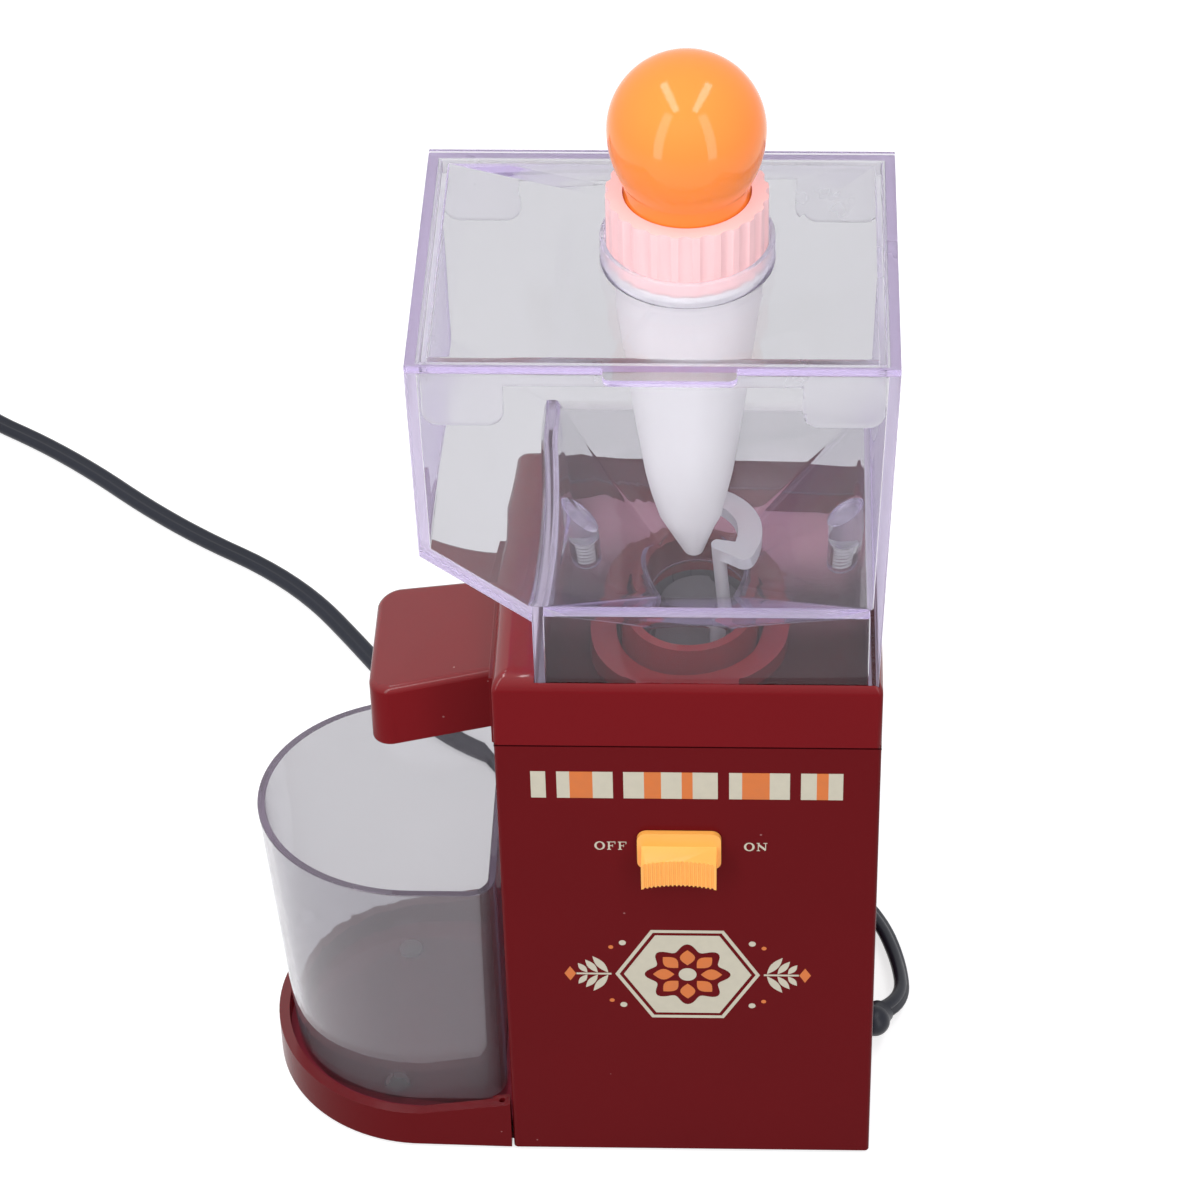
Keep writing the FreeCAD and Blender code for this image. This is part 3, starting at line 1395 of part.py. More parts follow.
def make_gear_train():
    shaft_bore = size.shaft_radius + size.running_gap
    shaft_top = rotor_top - size.rotor_cap - size.loose_gap
    shaft = post("shaft_round", (0, axis_y, output_foot), size.shaft_radius, shaft_top - output_foot)
    flats = [
        d_flat("gear_flat", size.shaft_radius + 0.5, output_foot - 1, size.gear_width + 1),
        d_flat("rotor_flat", size.shaft_radius + 0.5, rotor_foot, size.rotor_height),
    ]
    node("output_shaft", cut("shaft_done", shaft, *flats))
    wheel = made(
        "output_teeth_shape", gear(size.output_teeth, output_module, output_foot, size.gear_width, 0)
    )
    bore = cut(
        "output_bore",
        post("output_hole", (0, axis_y, output_foot - 1), shaft_bore, size.gear_width + 2),
        d_flat("output_key", shaft_bore + 0.5, output_foot - 1, size.gear_width + 2, size.running_gap),
    )
    node("output_gear", cut("output_gear_done", wheel, bore))
    lay_turn = 180 - 180 / float(size.lay_pinion_teeth)
    wheel_turn = 180 - 180 / float(size.wheel_teeth)
    large = made(
        "wheel_teeth_shape",
        gear(size.wheel_teeth, size.gear_module, wheel_foot, size.gear_width, lay_distance, wheel_turn),
    )
    small = made(
        "lay_pinion_shape",
        gear(
            size.lay_pinion_teeth,
            output_module,
            wheel_top - 0.5,
            output_top - wheel_top + 0.5,
            lay_distance,
            lay_turn,
        ),
    )
    hole = post(
        "lay_hole",
        (lay_distance, axis_y, wheel_foot - 1),
        size.lay_pin_radius + size.running_gap,
        case_lid_foot - wheel_foot,
    )
    node("layshaft_gear", cut("layshaft_done", fuse("layshaft_whole", large, small), hole))
    node(
        "layshaft_pin",
        post(
            "pin", (lay_distance, axis_y, case_foot + 1), size.lay_pin_radius, case_lid_top - case_foot - 2
        ),
    )
    pinion = made("pinion_shape", gear(size.pinion_teeth, size.gear_module, wheel_foot, size.gear_width, 0))
    pinion_bore = post(
        "pinion_hole",
        (0, axis_y, wheel_foot - 1),
        size.motor_shaft_radius + size.running_gap,
        size.gear_width + 2,
    )
    node("motor_pinion", cut("pinion_done", pinion, pinion_bore))
    bush = cut(
        "bush_done",
        post("bush_outer", (0, axis_y, case_lid_foot), size.bush_radius, seal_foot - case_lid_foot),
        post("bush_bore", (0, axis_y, case_lid_foot - 1), shaft_bore, seal_foot - case_lid_foot + 2),
    )
    node("shaft_bush", bush)
    washer = cut(
        "washer_done",
        post("washer_outer", (0, axis_y, floor_top), size.seal_radius, size.rotor_lift - size.seat_gap),
        post(
            "washer_bore",
            (0, axis_y, floor_top - 1),
            size.shaft_radius + size.loose_gap,
            size.rotor_lift + 2,
        ),
    )
    node("thrust_washer", washer)


def make_gear_case():
    half = case_half
    thick = size.case_wall
    outer = block(
        "case_outer", (case_left, axis_y - half, case_foot), (case_right, axis_y + half, case_lid_foot)
    )
    outer = rounded("case_corners", outer, 4.0, lambda edge: runs_along(edge, "z"))
    room = block(
        "case_room",
        (case_left + thick, axis_y - half + thick, case_floor_top),
        (case_right - thick, axis_y + half - thick, case_lid_foot + 1),
    )
    pin_radius = size.lay_pin_radius + size.running_gap
    tools = [
        room,
        post(
            "motor_boss_hole",
            (0, axis_y, case_foot - 1),
            size.motor_boss_radius + size.seat_gap,
            size.case_floor + 2,
        ),
        post("case_pin_hole", (lay_distance, axis_y, case_foot + 1), pin_radius, size.case_floor),
    ]
    for side in (-1, 1):
        y = axis_y + side * size.motor_screw_circle
        tools.append(
            post(f"motor_screw_hole_{side}", (0, y, case_foot - 1), size.tie_hole, size.case_floor + 2)
        )
    for index, (x, y) in enumerate(tie_points):
        tools.append(
            post(f"case_tie_{index}", (x, y, case_foot - 1), size.tie_hole, case_lid_foot - case_foot + 2)
        )
    node("gearbox_base", cut("case_done", outer, *tools))
    plate = block(
        "cover_plate", (case_left, axis_y - half, case_lid_foot), (case_right, axis_y + half, case_lid_top)
    )
    plate = rounded("cover_corners", plate, 4.0, lambda edge: runs_along(edge, "z"))
    bush_boss = size.bush_radius + size.case_wall
    parts = [plate, post("cover_boss", (0, axis_y, case_lid_foot), bush_boss, seal_foot - case_lid_foot)]
    flange_foot = seam_z - size.chamber_flange
    tools = [
        post(
            "bush_seat",
            (0, axis_y, case_lid_foot - 1),
            size.bush_radius + size.running_gap,
            seal_foot - case_lid_foot + 2,
        ),
        post("cover_pin_hole", (lay_distance, axis_y, case_lid_foot - 1), pin_radius, size.case_lid),
    ]
    for index, (x, y) in enumerate(tie_points):
        parts.append(
            post(
                f"tie_post_{index}",
                (x, y, case_lid_foot),
                size.tie_post_radius,
                flange_foot - case_lid_foot,
            )
        )
        tools.append(
            post(
                f"cover_tie_{index}",
                (x, y, case_lid_foot - 1),
                size.tie_hole,
                flange_foot - case_lid_foot + 2,
            )
        )
    node("gearbox_cover", cut("cover_done", fuse("cover_whole", *parts), *tools))


def screw(name, x, y, head_foot, tip_z, up=True, along="z"):
    """A plain screw: a head, and a shank that runs to its tip."""
    head = size.screw_head_height
    if along == "y":
        return fuse(
            name,
            post(f"{name}_head", (x, head_foot, y), size.screw_head_radius, head, "y"),
            post(f"{name}_shank", (x, tip_z, y), 1.0, head_foot - tip_z + 0.5, "y"),
        )
    if up:
        return fuse(
            name,
            post(f"{name}_head", (x, y, head_foot), size.screw_head_radius, head),
            post(
                f"{name}_shank",
                (x, y, head_foot + head - 0.2),
                screw_radius,
                tip_z - head_foot - head + 0.2,
            ),
        )
    return fuse(
        name,
        post(f"{name}_head", (x, y, head_foot), size.screw_head_radius, head),
        post(f"{name}_shank", (x, y, tip_z), screw_radius, head_foot - tip_z + 0.2),
    )


def make_screws():
    head = size.screw_head_height
    ties = [
        screw(
            f"tie_{index}", x, y, case_foot - head, seam_z + size.tie_grip
        ) for index, (x, y) in enumerate(tie_points)
    ]
    node("drive_screws", group("drive_screw_set", *ties))
    boss_foot = seam_z - size.boss_drop - size.boss_length
    seam_screws = [
        screw(
            f"seam_screw_{index}", x, y, boss_foot - head, seam_z - 2.5
        ) for index, (x, y) in enumerate(corner_posts)
    ]
    node("housing_screws", group("housing_screw_set", *seam_screws))
    low = [
        screw(
            f"base_screw_{index}",
            x,
            y,
            base_z + size.loose_gap,
            base_z + size.base_thickness + size.base_screw_grip,
        )
        for index, (x, y) in enumerate(corner_posts)
    ]
    node("base_screws", group("base_screw_set", *low))
    motor_screws = [
        screw(
            f"motor_screw_{side}",
            0,
            axis_y + side * size.motor_screw_circle,
            case_floor_top,
            motor_top - 4,
            False,
        )
        for side in (-1, 1)
    ]
    node("motor_screws", group("motor_screw_set", *motor_screws))
    ear_back = wall + size.peg_length + size.ear_thickness
    switch_screws = [
        screw(
            f"switch_screw_{side}",
            slot_middle + side * size.switch_screw_span / 2,
            switch_z,
            ear_back,
            wall - 0.5,
            along="y",
        )
        for side in (-1, 1)
    ]
    node("switch_screws", group("switch_screw_set", *switch_screws))


# --------------------------------------------------------------------------------------------
# Motor
# --------------------------------------------------------------------------------------------
def make_motor():
    bore = size.motor_shaft_radius + size.running_gap
    inner = size.motor_radius - size.motor_wall
    core_foot = motor_foot + (size.motor_length - size.armature_length) / 2 - size.motor_wall
    core_top = core_foot + size.armature_length
    can = fuse(
        "can_outer",
        post("can_body", (0, axis_y, motor_foot), size.motor_radius, size.motor_length),
        post("can_boss", (0, axis_y, motor_top - 1), size.motor_boss_radius, size.case_floor),
    )
    tools = [
        post("can_room", (0, axis_y, motor_foot - 1), inner, size.motor_length - size.motor_wall + 1),
        post("can_bore", (0, axis_y, motor_top - 5), bore, size.case_floor + 8),
    ]
    for side in (-1, 1):
        y = axis_y + side * size.motor_screw_circle
        tools.append(post(f"can_screw_hole_{side}", (0, y, motor_top - 3), pilot_radius, 5))
    node("motor_can", cut("can_done", can, *tools))
    magnet_outer = inner - size.seat_gap
    magnet_foot = core_foot - (size.magnet_length - size.armature_length) / 2
    hollow = post(
        "magnet_room",
        (0, axis_y, magnet_foot - 1),
        magnet_outer - size.magnet_thickness,
        size.magnet_length + 2,
    )
    arcs = [
        cut(
            f"magnet_{index}",
            post(
                f"magnet_sector_{index}",
                (0, axis_y, magnet_foot),
                magnet_outer,
                size.magnet_length,
                angle=120,
                turn=turn,
            ),
            hollow,
        )
        for index, turn in enumerate((-60.0, 120.0))
    ]
    node("motor_magnets", group("magnet_pair", *arcs))
    core = turned(
        "core_profile",
        [
            (bore, core_foot),
            (size.armature_radius, core_foot),
            (size.armature_radius, core_top),
            (bore, core_top),
        ],
        (0, axis_y, 0),
    )
    slot_floor, slot_roof, mouth = 4.8, 10.7, 1.1
    slot = [
        (slot_floor, -2.2),
        (slot_roof, -5.0),
        (slot_roof, -mouth),
        (size.armature_radius + 1, -mouth),
        (size.armature_radius + 1, mouth),
        (slot_roof, mouth),
        (slot_roof, 5.0),
        (slot_floor, 2.2),
    ]
    repeated_round(core, slot, core_foot - 1, size.armature_length + 2, size.armature_poles, "core")
    node("armature_core", core)
    winding = []
    for name, foot in (("lower", core_foot - size.coil_height), ("upper", core_top)):
        winding.append(
            cut(
                f"{name}_coil_ring",
                post(f"{name}_coil_outer", (0, axis_y, foot), size.armature_radius - 1.6, size.coil_height),
                post(f"{name}_coil_inner", (0, axis_y, foot - 1), 4.6, size.coil_height + 2),
            )
        )
    for index in range(int(float(size.armature_poles))):
        angle = 360 * index / size.armature_poles
        foot = (7.7 * cosine(angle), axis_y + 7.7 * sine(angle), core_foot - 1)
        winding.append(post(f"coil_fill_{index}", foot, 2.5, size.armature_length + 2))
    node("armature_coils", fuse("coils_done", *winding))
    commutator_foot = cap_foot + size.end_cap_thickness / 2
    commutator = cut(
        "commutator_done",
        post(
            "commutator_outer",
            (0, axis_y, commutator_foot),
            size.commutator_radius,
            core_foot - commutator_foot,
        ),
        post("commutator_bore", (0, axis_y, commutator_foot - 1), bore, core_foot - commutator_foot + 2),
    )
    node("commutator", commutator)
    node(
        "motor_shaft",
        post("motor_shaft_rod", (0, axis_y, cap_foot), size.motor_shaft_radius, wheel_top + 0.5 - cap_foot),
    )
    recess_foot = cap_foot + size.end_cap_thickness / 2 - 0.5
    cap = cut(
        "cap_shell",
        post("cap_disc", (0, axis_y, cap_foot), size.motor_radius, size.end_cap_thickness),
        post(
            "cap_recess",
            (0, axis_y, recess_foot),
            size.motor_radius - size.end_cap_rim,
            size.end_cap_thickness,
        ),
    )
    holders = []
    tools = [post("cap_bore", (0, axis_y, cap_foot - 1), bore, size.end_cap_thickness + 2)]
    brushes = []
    terminals = []
    brush_z = recess_foot + size.brush_width / 2
    half_brush = size.brush_width / 2
    half_way = half_brush + size.brush_slack
    half_holder = half_way + size.holder_wall
    half_terminal = size.terminal_width / 2
    slack = size.running_gap
    for side in (-1, 1):
        near = side * (size.commutator_radius + size.loose_gap)
        far = side * (size.motor_radius - size.end_cap_rim - size.holder_wall)
        ends = sorted((near, far), key=float)
        holder_ends = sorted(
            (
                side * (size.commutator_radius + size.holder_wall),
                side * (size.motor_radius - size.end_cap_rim + 0.5),
            ),
            key=float,
        )
        holders.append(
            block(
                f"holder_{side}",
                (holder_ends[0], axis_y - half_holder, recess_foot - 0.5),
                (
                    holder_ends[1],
                    axis_y + half_holder,
                    brush_z + size.brush_width + size.brush_slack + size.holder_wall,
                ),
            )
        )
        tools.append(
            block(
                f"brush_way_{side}",
                (ends[0] - size.loose_gap, axis_y - half_way, brush_z - size.brush_slack),
                (
                    ends[1] + size.loose_gap,
                    axis_y + half_way,
                    brush_z + size.brush_width + size.brush_slack,
                ),
            )
        )
        brushes.append(
            block(
                f"brush_{side}",
                (ends[0], axis_y - half_brush, brush_z),
                (ends[1], axis_y + half_brush, brush_z + size.brush_width),
            )
        )
        blade_x = side * size.terminal_radius
        half_blade = size.terminal_thickness / 2
        terminals.append(
            block(
                f"terminal_{side}",
                (blade_x - half_blade, axis_y - half_terminal, cap_foot - size.terminal_length),
                (blade_x + half_blade, axis_y + half_terminal, recess_foot),
            )
        )
        tools.append(
            block(
                f"terminal_way_{side}",
                (blade_x - half_blade - slack, axis_y - half_terminal - slack, cap_foot - 1),
                (blade_x + half_blade + slack, axis_y + half_terminal + slack, recess_foot),
            )
        )
    node("motor_end_cap", cut("end_cap_done", fuse("cap_whole", cap, *holders), *tools))
    node("motor_brushes", group("brush_pair", *brushes))
    node("motor_terminals", group("terminal_pair", *terminals))
    damper = cut(
        "damper_done",
        post("damper_outer", (0, axis_y, damper_foot), size.motor_radius - 1, size.damper_height),
        post(
            "damper_bore",
            (0, axis_y, damper_foot - 1),
            size.motor_rest_radius - 2.8,
            size.damper_height + 2,
        ),
    )
    node("motor_damper", damper)


# --------------------------------------------------------------------------------------------
# Switch and board
# --------------------------------------------------------------------------------------------
def make_switch():
    face = -size.slider_gap
    front = face - size.plate_thickness
    half_plate, half_tall = size.plate_width / 2, size.plate_height / 2
    middle_x = size.switch_rest
    plate = rounded(
        "slider_plate",
        block(
            "plate_block",
            (middle_x - half_plate, front, switch_z - half_tall),
            (middle_x + half_plate, face, switch_z + half_tall),
        ),
        size.plate_round,
        lambda edge: runs_along(edge, "y"),
    )
    half_grip = size.grip_width / 2
    grip = slab(
        "grip_outline",
        "YZ",
        [
            (-size.grip_reach, switch_z - size.grip_drop),
            (front + 0.5, switch_z - size.grip_drop + 1.4),
            (front + 0.5, switch_z + size.grip_rise + 1.6),
            (-size.grip_reach, switch_z + size.grip_rise),
        ],
        middle_x - half_grip,
        size.grip_width,
    )
    scoop_y = -size.grip_reach + size.scoop_depth - size.scoop_radius
    tools = [post("grip_scoop", (middle_x, scoop_y, switch_z - 12), size.scoop_radius, 20)]
    step = size.grip_width / (size.grip_rib_count + 1)
    for index in range(int(float(size.grip_rib_count))):
        across = (index + 1) * step - half_grip
        reach = root(size.scoop_radius * size.scoop_radius - across * across)
        tools.append(
            post(
                f"groove_{index}", (middle_x + across, scoop_y + reach, switch_z - 12), size.rib_radius, 20
            )
        )
    stem = block(
        "stem",
        (middle_x - size.stem_half, face - 0.5, switch_z - size.stem_rise),
        (middle_x + size.stem_half, size.stem_length, switch_z + size.stem_rise),
    )
    grip = cut("grip_ribbed", grip, *tools)
    node("switch_slider", fuse("slider_done", plate, grip, stem))
    body_front = wall + size.peg_length
    lever = fuse(
        "lever_done",
        block(
            "lever_saddle",
            (middle_x - size.stem_half + 1, size.stem_length, switch_z - size.stem_rise),
            (middle_x + size.stem_half - 1, size.stem_length + 1.2, switch_z + size.stem_rise),
        ),
        block(
            "lever_arm",
            (middle_x - 1.5, size.stem_length + 0.5, switch_z - 1.5),
            (middle_x + 1.5, size.stem_length + 4.0, switch_z + 1.5),
        ),
    )
    node("switch_lever", lever)
    half = size.switch_body_half
    half_high = size.switch_body_height / 2
    ear_half = size.switch_screw_span / 2 + 3.5
    body = fuse(
        "switch_whole",
        block(
            "switch_block",
            (slot_middle - half, body_front, switch_z - half_high),
            (slot_middle + half, body_front + size.switch_body_depth, switch_z + half_high),
        ),
        block(
            "switch_ears",
            (slot_middle - ear_half, body_front, switch_z - 4),
            (slot_middle + ear_half, body_front + size.ear_thickness, switch_z + 4),
        ),
        block(
            "switch_tags",
            (slot_middle - half - 4, body_front + size.switch_body_depth - 3, switch_z - 2),
            (slot_middle + half + 4, body_front + size.switch_body_depth - 2.2, switch_z + 2),
        ),
    )
    reach = size.switch_travel / 2 + size.stem_half + size.loose_gap
    tools = [
        block(
            "lever_room",
            (slot_middle - reach, body_front - 1, switch_z - size.stem_rise - size.loose_gap),
            (
                slot_middle + reach,
                body_front + size.switch_body_depth - 2,
                switch_z + size.stem_rise + size.loose_gap,
            ),
        )
    ]
    for side in (-1, 1):
        x = slot_middle + side * size.switch_screw_span / 2
        tools.append(
            post(f"ear_hole_{side}", (x, body_front - 1, switch_z), 1.2, size.ear_thickness + 2, "y")
        )
    node("switch_body", cut("switch_done", body, *tools))


def make_board():
    board_x = left_x + wall + size.board_gap
    low_z = base_z + size.board_height
    face_x = board_x + size.board_thickness
    half = size.board_width / 2
    board = block(
        "board_plate",
        (board_x, axis_y - half, low_z - size.board_margin),
        (face_x, axis_y + half, low_z + size.board_span + size.board_margin),
    )
    diodes = []
    for index in range(4):
        y = axis_y + (index - 1.5) * size.diode_pitch
        foot = (face_x + size.diode_radius * 0.9, y, low_z + size.diode_height)
        diodes.append(post(f"diode_{index}", foot, size.diode_radius, size.diode_length))
    foot = (face_x - 0.5, axis_y + size.capacitor_radius, low_z + size.capacitor_height)
    diodes.append(post("capacitor", foot, size.capacitor_radius, size.capacitor_length, "x"))
    holes = [
        post(
            f"board_hole_{level}",
            (board_x - 1, axis_y, low_z + level * size.board_span),
            1.2 + size.seat_gap,
            4,
            "x",
        )
        for level in (0, 1)
    ]
    node("rectifier_board", cut("board_done", fuse("board_whole", board, *diodes), *holes))


# --------------------------------------------------------------------------------------------
# Base with tray, feet and cup
# --------------------------------------------------------------------------------------------
def tray_outline(name, inset, foot, height, edge_x):
    radius = tray_radius - inset
    return fuse(
        name,
        post(f"{name}_round", (tray_x, axis_y, foot), radius, height, angle=180, turn=90.0),
        slab(
            f"{name}_sides",
            "XY",
            [
                (tray_x, axis_y - radius),
                (edge_x, inset),
                (edge_x, back_y - inset),
                (tray_x, axis_y + radius),
            ],
            foot,
            height,
        ),
    )


def make_base():
    gap = size.loose_gap
    plate_top_z = base_z + size.base_thickness
    rim = base_z + size.tray_rim
    high_rim = rim + size.tray_rim_rise
    plate = block(
        "base_plate",
        (left_x + wall + gap, wall + gap, base_z),
        (right_x - wall - gap, back_y - wall - gap, plate_top_z),
    )
    neck = block(
        "neck",
        (tray_edge_x - 1, size.neck_inset, base_z),
        (left_x + wall + 1, back_y - size.neck_inset, plate_top_z),
    )
    tray = tray_outline("tray_outer", 0.0, base_z, high_rim - base_z, tray_edge_x)
    room = tray_outline("tray_room", size.tray_wall, tray_floor_z, 20, tray_edge_x + 1)
    lugs = []
    dimples = []
    for side, low_y in (("front", size.tray_wall - 0.5), ("back", back_y - size.lug_depth)):
        lug = block(
            f"lug_{side}",
            (tray_edge_x - size.lug_length, low_y, tray_floor_z - 0.5),
            (tray_edge_x, low_y + size.lug_depth - size.tray_wall + 0.5, high_rim),
        )
        lugs.append(lug)
        y = size.dimple_inset if side == "front" else back_y - size.dimple_inset
        dimples.append(
            post(
                f"dimple_{side}",
                (tray_edge_x - size.dimple_reach, y, rim + 1.5),
                size.dimple_radius,
                size.tray_rim_rise,
            )
        )
    slope = slab(
        "rim_slope",
        "XZ",
        [
            (tray_x - tray_radius - 1, rim),
            (tray_x, rim),
            (tray_edge_x, high_rim),
            (tray_edge_x + 1, high_rim),
            (tray_edge_x + 1, high_rim + 5),
            (tray_x - tray_radius - 1, high_rim + 5),
        ],
        -1,
        size.housing_depth + 2,
    )
    trimmed = cut("tray_trimmed", fuse("tray_with_lugs", cut("tray_hollow", tray, room), *lugs), slope)
    pillar = cut(
        "pillar_tube",
        post(
            "pillar_outer",
            (0, axis_y, plate_top_z - 0.5),
            size.motor_rest_radius,
            damper_foot - plate_top_z + 0.5,
        ),
        post(
            "pillar_inner",
            (0, axis_y, plate_top_z),
            size.motor_rest_radius - size.pillar_wall,
            damper_foot,
        ),
    )
    tools = dimples
    for index, (x, y) in enumerate(corner_posts):
        tools.append(post(f"base_hole_{index}", (x, y, base_z - 1), size.tie_hole, size.base_thickness + 2))
        tools.append(
            post(
                f"base_sink_{index}",
                (x, y, base_z - 1),
                size.screw_head_radius + 0.4,
                size.screw_head_height + size.loose_gap + 1,
            )
        )
    node("base_tray", cut("base_done", fuse("base_whole", plate, neck, trimmed, pillar), *tools))
    feet = []
    depths = (size.foot_inset, back_y - size.foot_inset)
    spots = [(side * size.foot_side, depth) for side in (-1, 1) for depth in depths]
    spots += [
        (tray_x - size.tray_foot_reach, axis_y + side * size.tray_foot_spread) for side in (-1, 1)
    ]
    for index, (x, y) in enumerate(spots):
        feet.append(post(f"foot_{index}", (x, y, 0), size.foot_radius, size.foot_height))
    node("rubber_feet", group("feet_set", *feet))


def cup_wire(z, half_depth, reach, inset=0.0):
    """The cup's outline at one height: a flat, two straight sides and half an ellipse."""
    flat_x = float(cup_flat_x) - inset
    round_x = float(cup_round_x)
    half = float(half_depth) - inset
    reach = float(reach) - inset
    corner = 7.0 - inset
    y = float(axis_y)
    bend = corner * (1 - math.sqrt(0.5))
    low, high = y - half, y + half

    def point(x, y):
        return FreeCAD.Vector(x, y, float(z))

    ellipse = Part.Ellipse(point(round_x - reach, y), point(round_x, high), point(round_x, y))
    edges = [
        Part.LineSegment(point(round_x, low), point(flat_x - corner, low)),
        Part.Arc(
            point(flat_x - corner, low), point(flat_x - bend, low + bend), point(flat_x, low + corner)
        ),
        Part.LineSegment(point(flat_x, low + corner), point(flat_x, high - corner)),
        Part.Arc(
            point(flat_x, high - corner), point(flat_x - bend, high - bend), point(flat_x - corner, high)
        ),
        Part.LineSegment(point(flat_x - corner, high), point(round_x, high)),
        Part.ArcOfEllipse(ellipse, -math.pi / 2, math.pi / 2),
    ]
    return Part.Wire(Part.__sortEdges__([edge.toShape() for edge in edges]))


def make_cup():
    foot = tray_floor_z
    floor = foot + size.cup_wall
    rim_sizes = (cup_rim_half, cup_rim_reach)
    foot_sizes = (cup_foot_half, cup_foot_reach)
    outer = Part.makeLoft([cup_wire(foot, *foot_sizes), cup_wire(cup_rim_z, *rim_sizes)], True, True)
    thick = float(size.cup_wall)
    inner = Part.makeLoft(
        [cup_wire(floor, *foot_sizes, inset=thick), cup_wire(cup_rim_z + 1, *rim_sizes, inset=thick)],
        True,
        True,
    )
    shell = cut("cup_shell", made("cup_outer", outer), made("cup_inner", inner))
    pips = [
        post(
            f"pip_{side}",
            (cup_round_x - size.pip_inset, axis_y + side * size.pip_spread, floor - 0.5),
            size.pip_radius,
            size.pip_height + 0.5,
        ) for side in (-1, 1)
    ]
    node("cup", fuse("cup_done", shell, *pips))


# --------------------------------------------------------------------------------------------
# Mains lead
# --------------------------------------------------------------------------------------------
def tube_along(corners, radius):
    """A round tube along straight runs joined by tangent arcs."""
    points = [FreeCAD.Vector(*map(float, corner)) for corner in corners]
    edges = []
    radii = []
    start = points[0]
    for before, at, after in zip(points, points[1:], points[2:]):
        back, ahead = before - at, after - at
        half_turn = (math.pi - back.getAngle(ahead)) / 2
        trim = 0.45 * min(back.Length, ahead.Length)
        arc_radius = trim / math.tan(half_turn)
        radii.append(arc_radius)
        back.normalize()
        ahead.normalize()
        bisector = (back + ahead).normalize()
        centre = at + bisector * (arc_radius / math.cos(half_turn))
        first, last = at + back * trim, at + ahead * trim
        edges.append(Part.LineSegment(start, first).toShape())
        edges.append(Part.Arc(first, centre - bisector * arc_radius, last).toShape())
        start = last
    edges.append(Part.LineSegment(start, points[-1]).toShape())
    path = Part.Wire(edges)
    ring = Part.Wire([Part.makeCircle(float(radius), points[0], points[1] - points[0])])
    tube = path.makePipeShell([ring], True, True)
    print(f"tube: least radius {min(radii):.1f} mm, length {path.Length:.0f} mm")
    ratio = tube.Volume / (path.Length * math.pi * float(radius) ** 2)
    if abs(ratio - 1) > 0.01:
        raise ValueError(f"tube volume is {ratio:.3f} of its section times its length")
    return tube


def aimed(name, foot, radius, length, direction):
    """A cylinder from its foot along any direction."""
    cylinder = document.addObject("Part::Cylinder", name)
    cylinder.Placement = FreeCAD.Placement(
        FreeCAD.Vector(), FreeCAD.Rotation(FreeCAD.Vector(0, 0, 1), direction)
    )
    tie(cylinder, Radius=radius, Height=length)
    return place(cylinder, *foot)


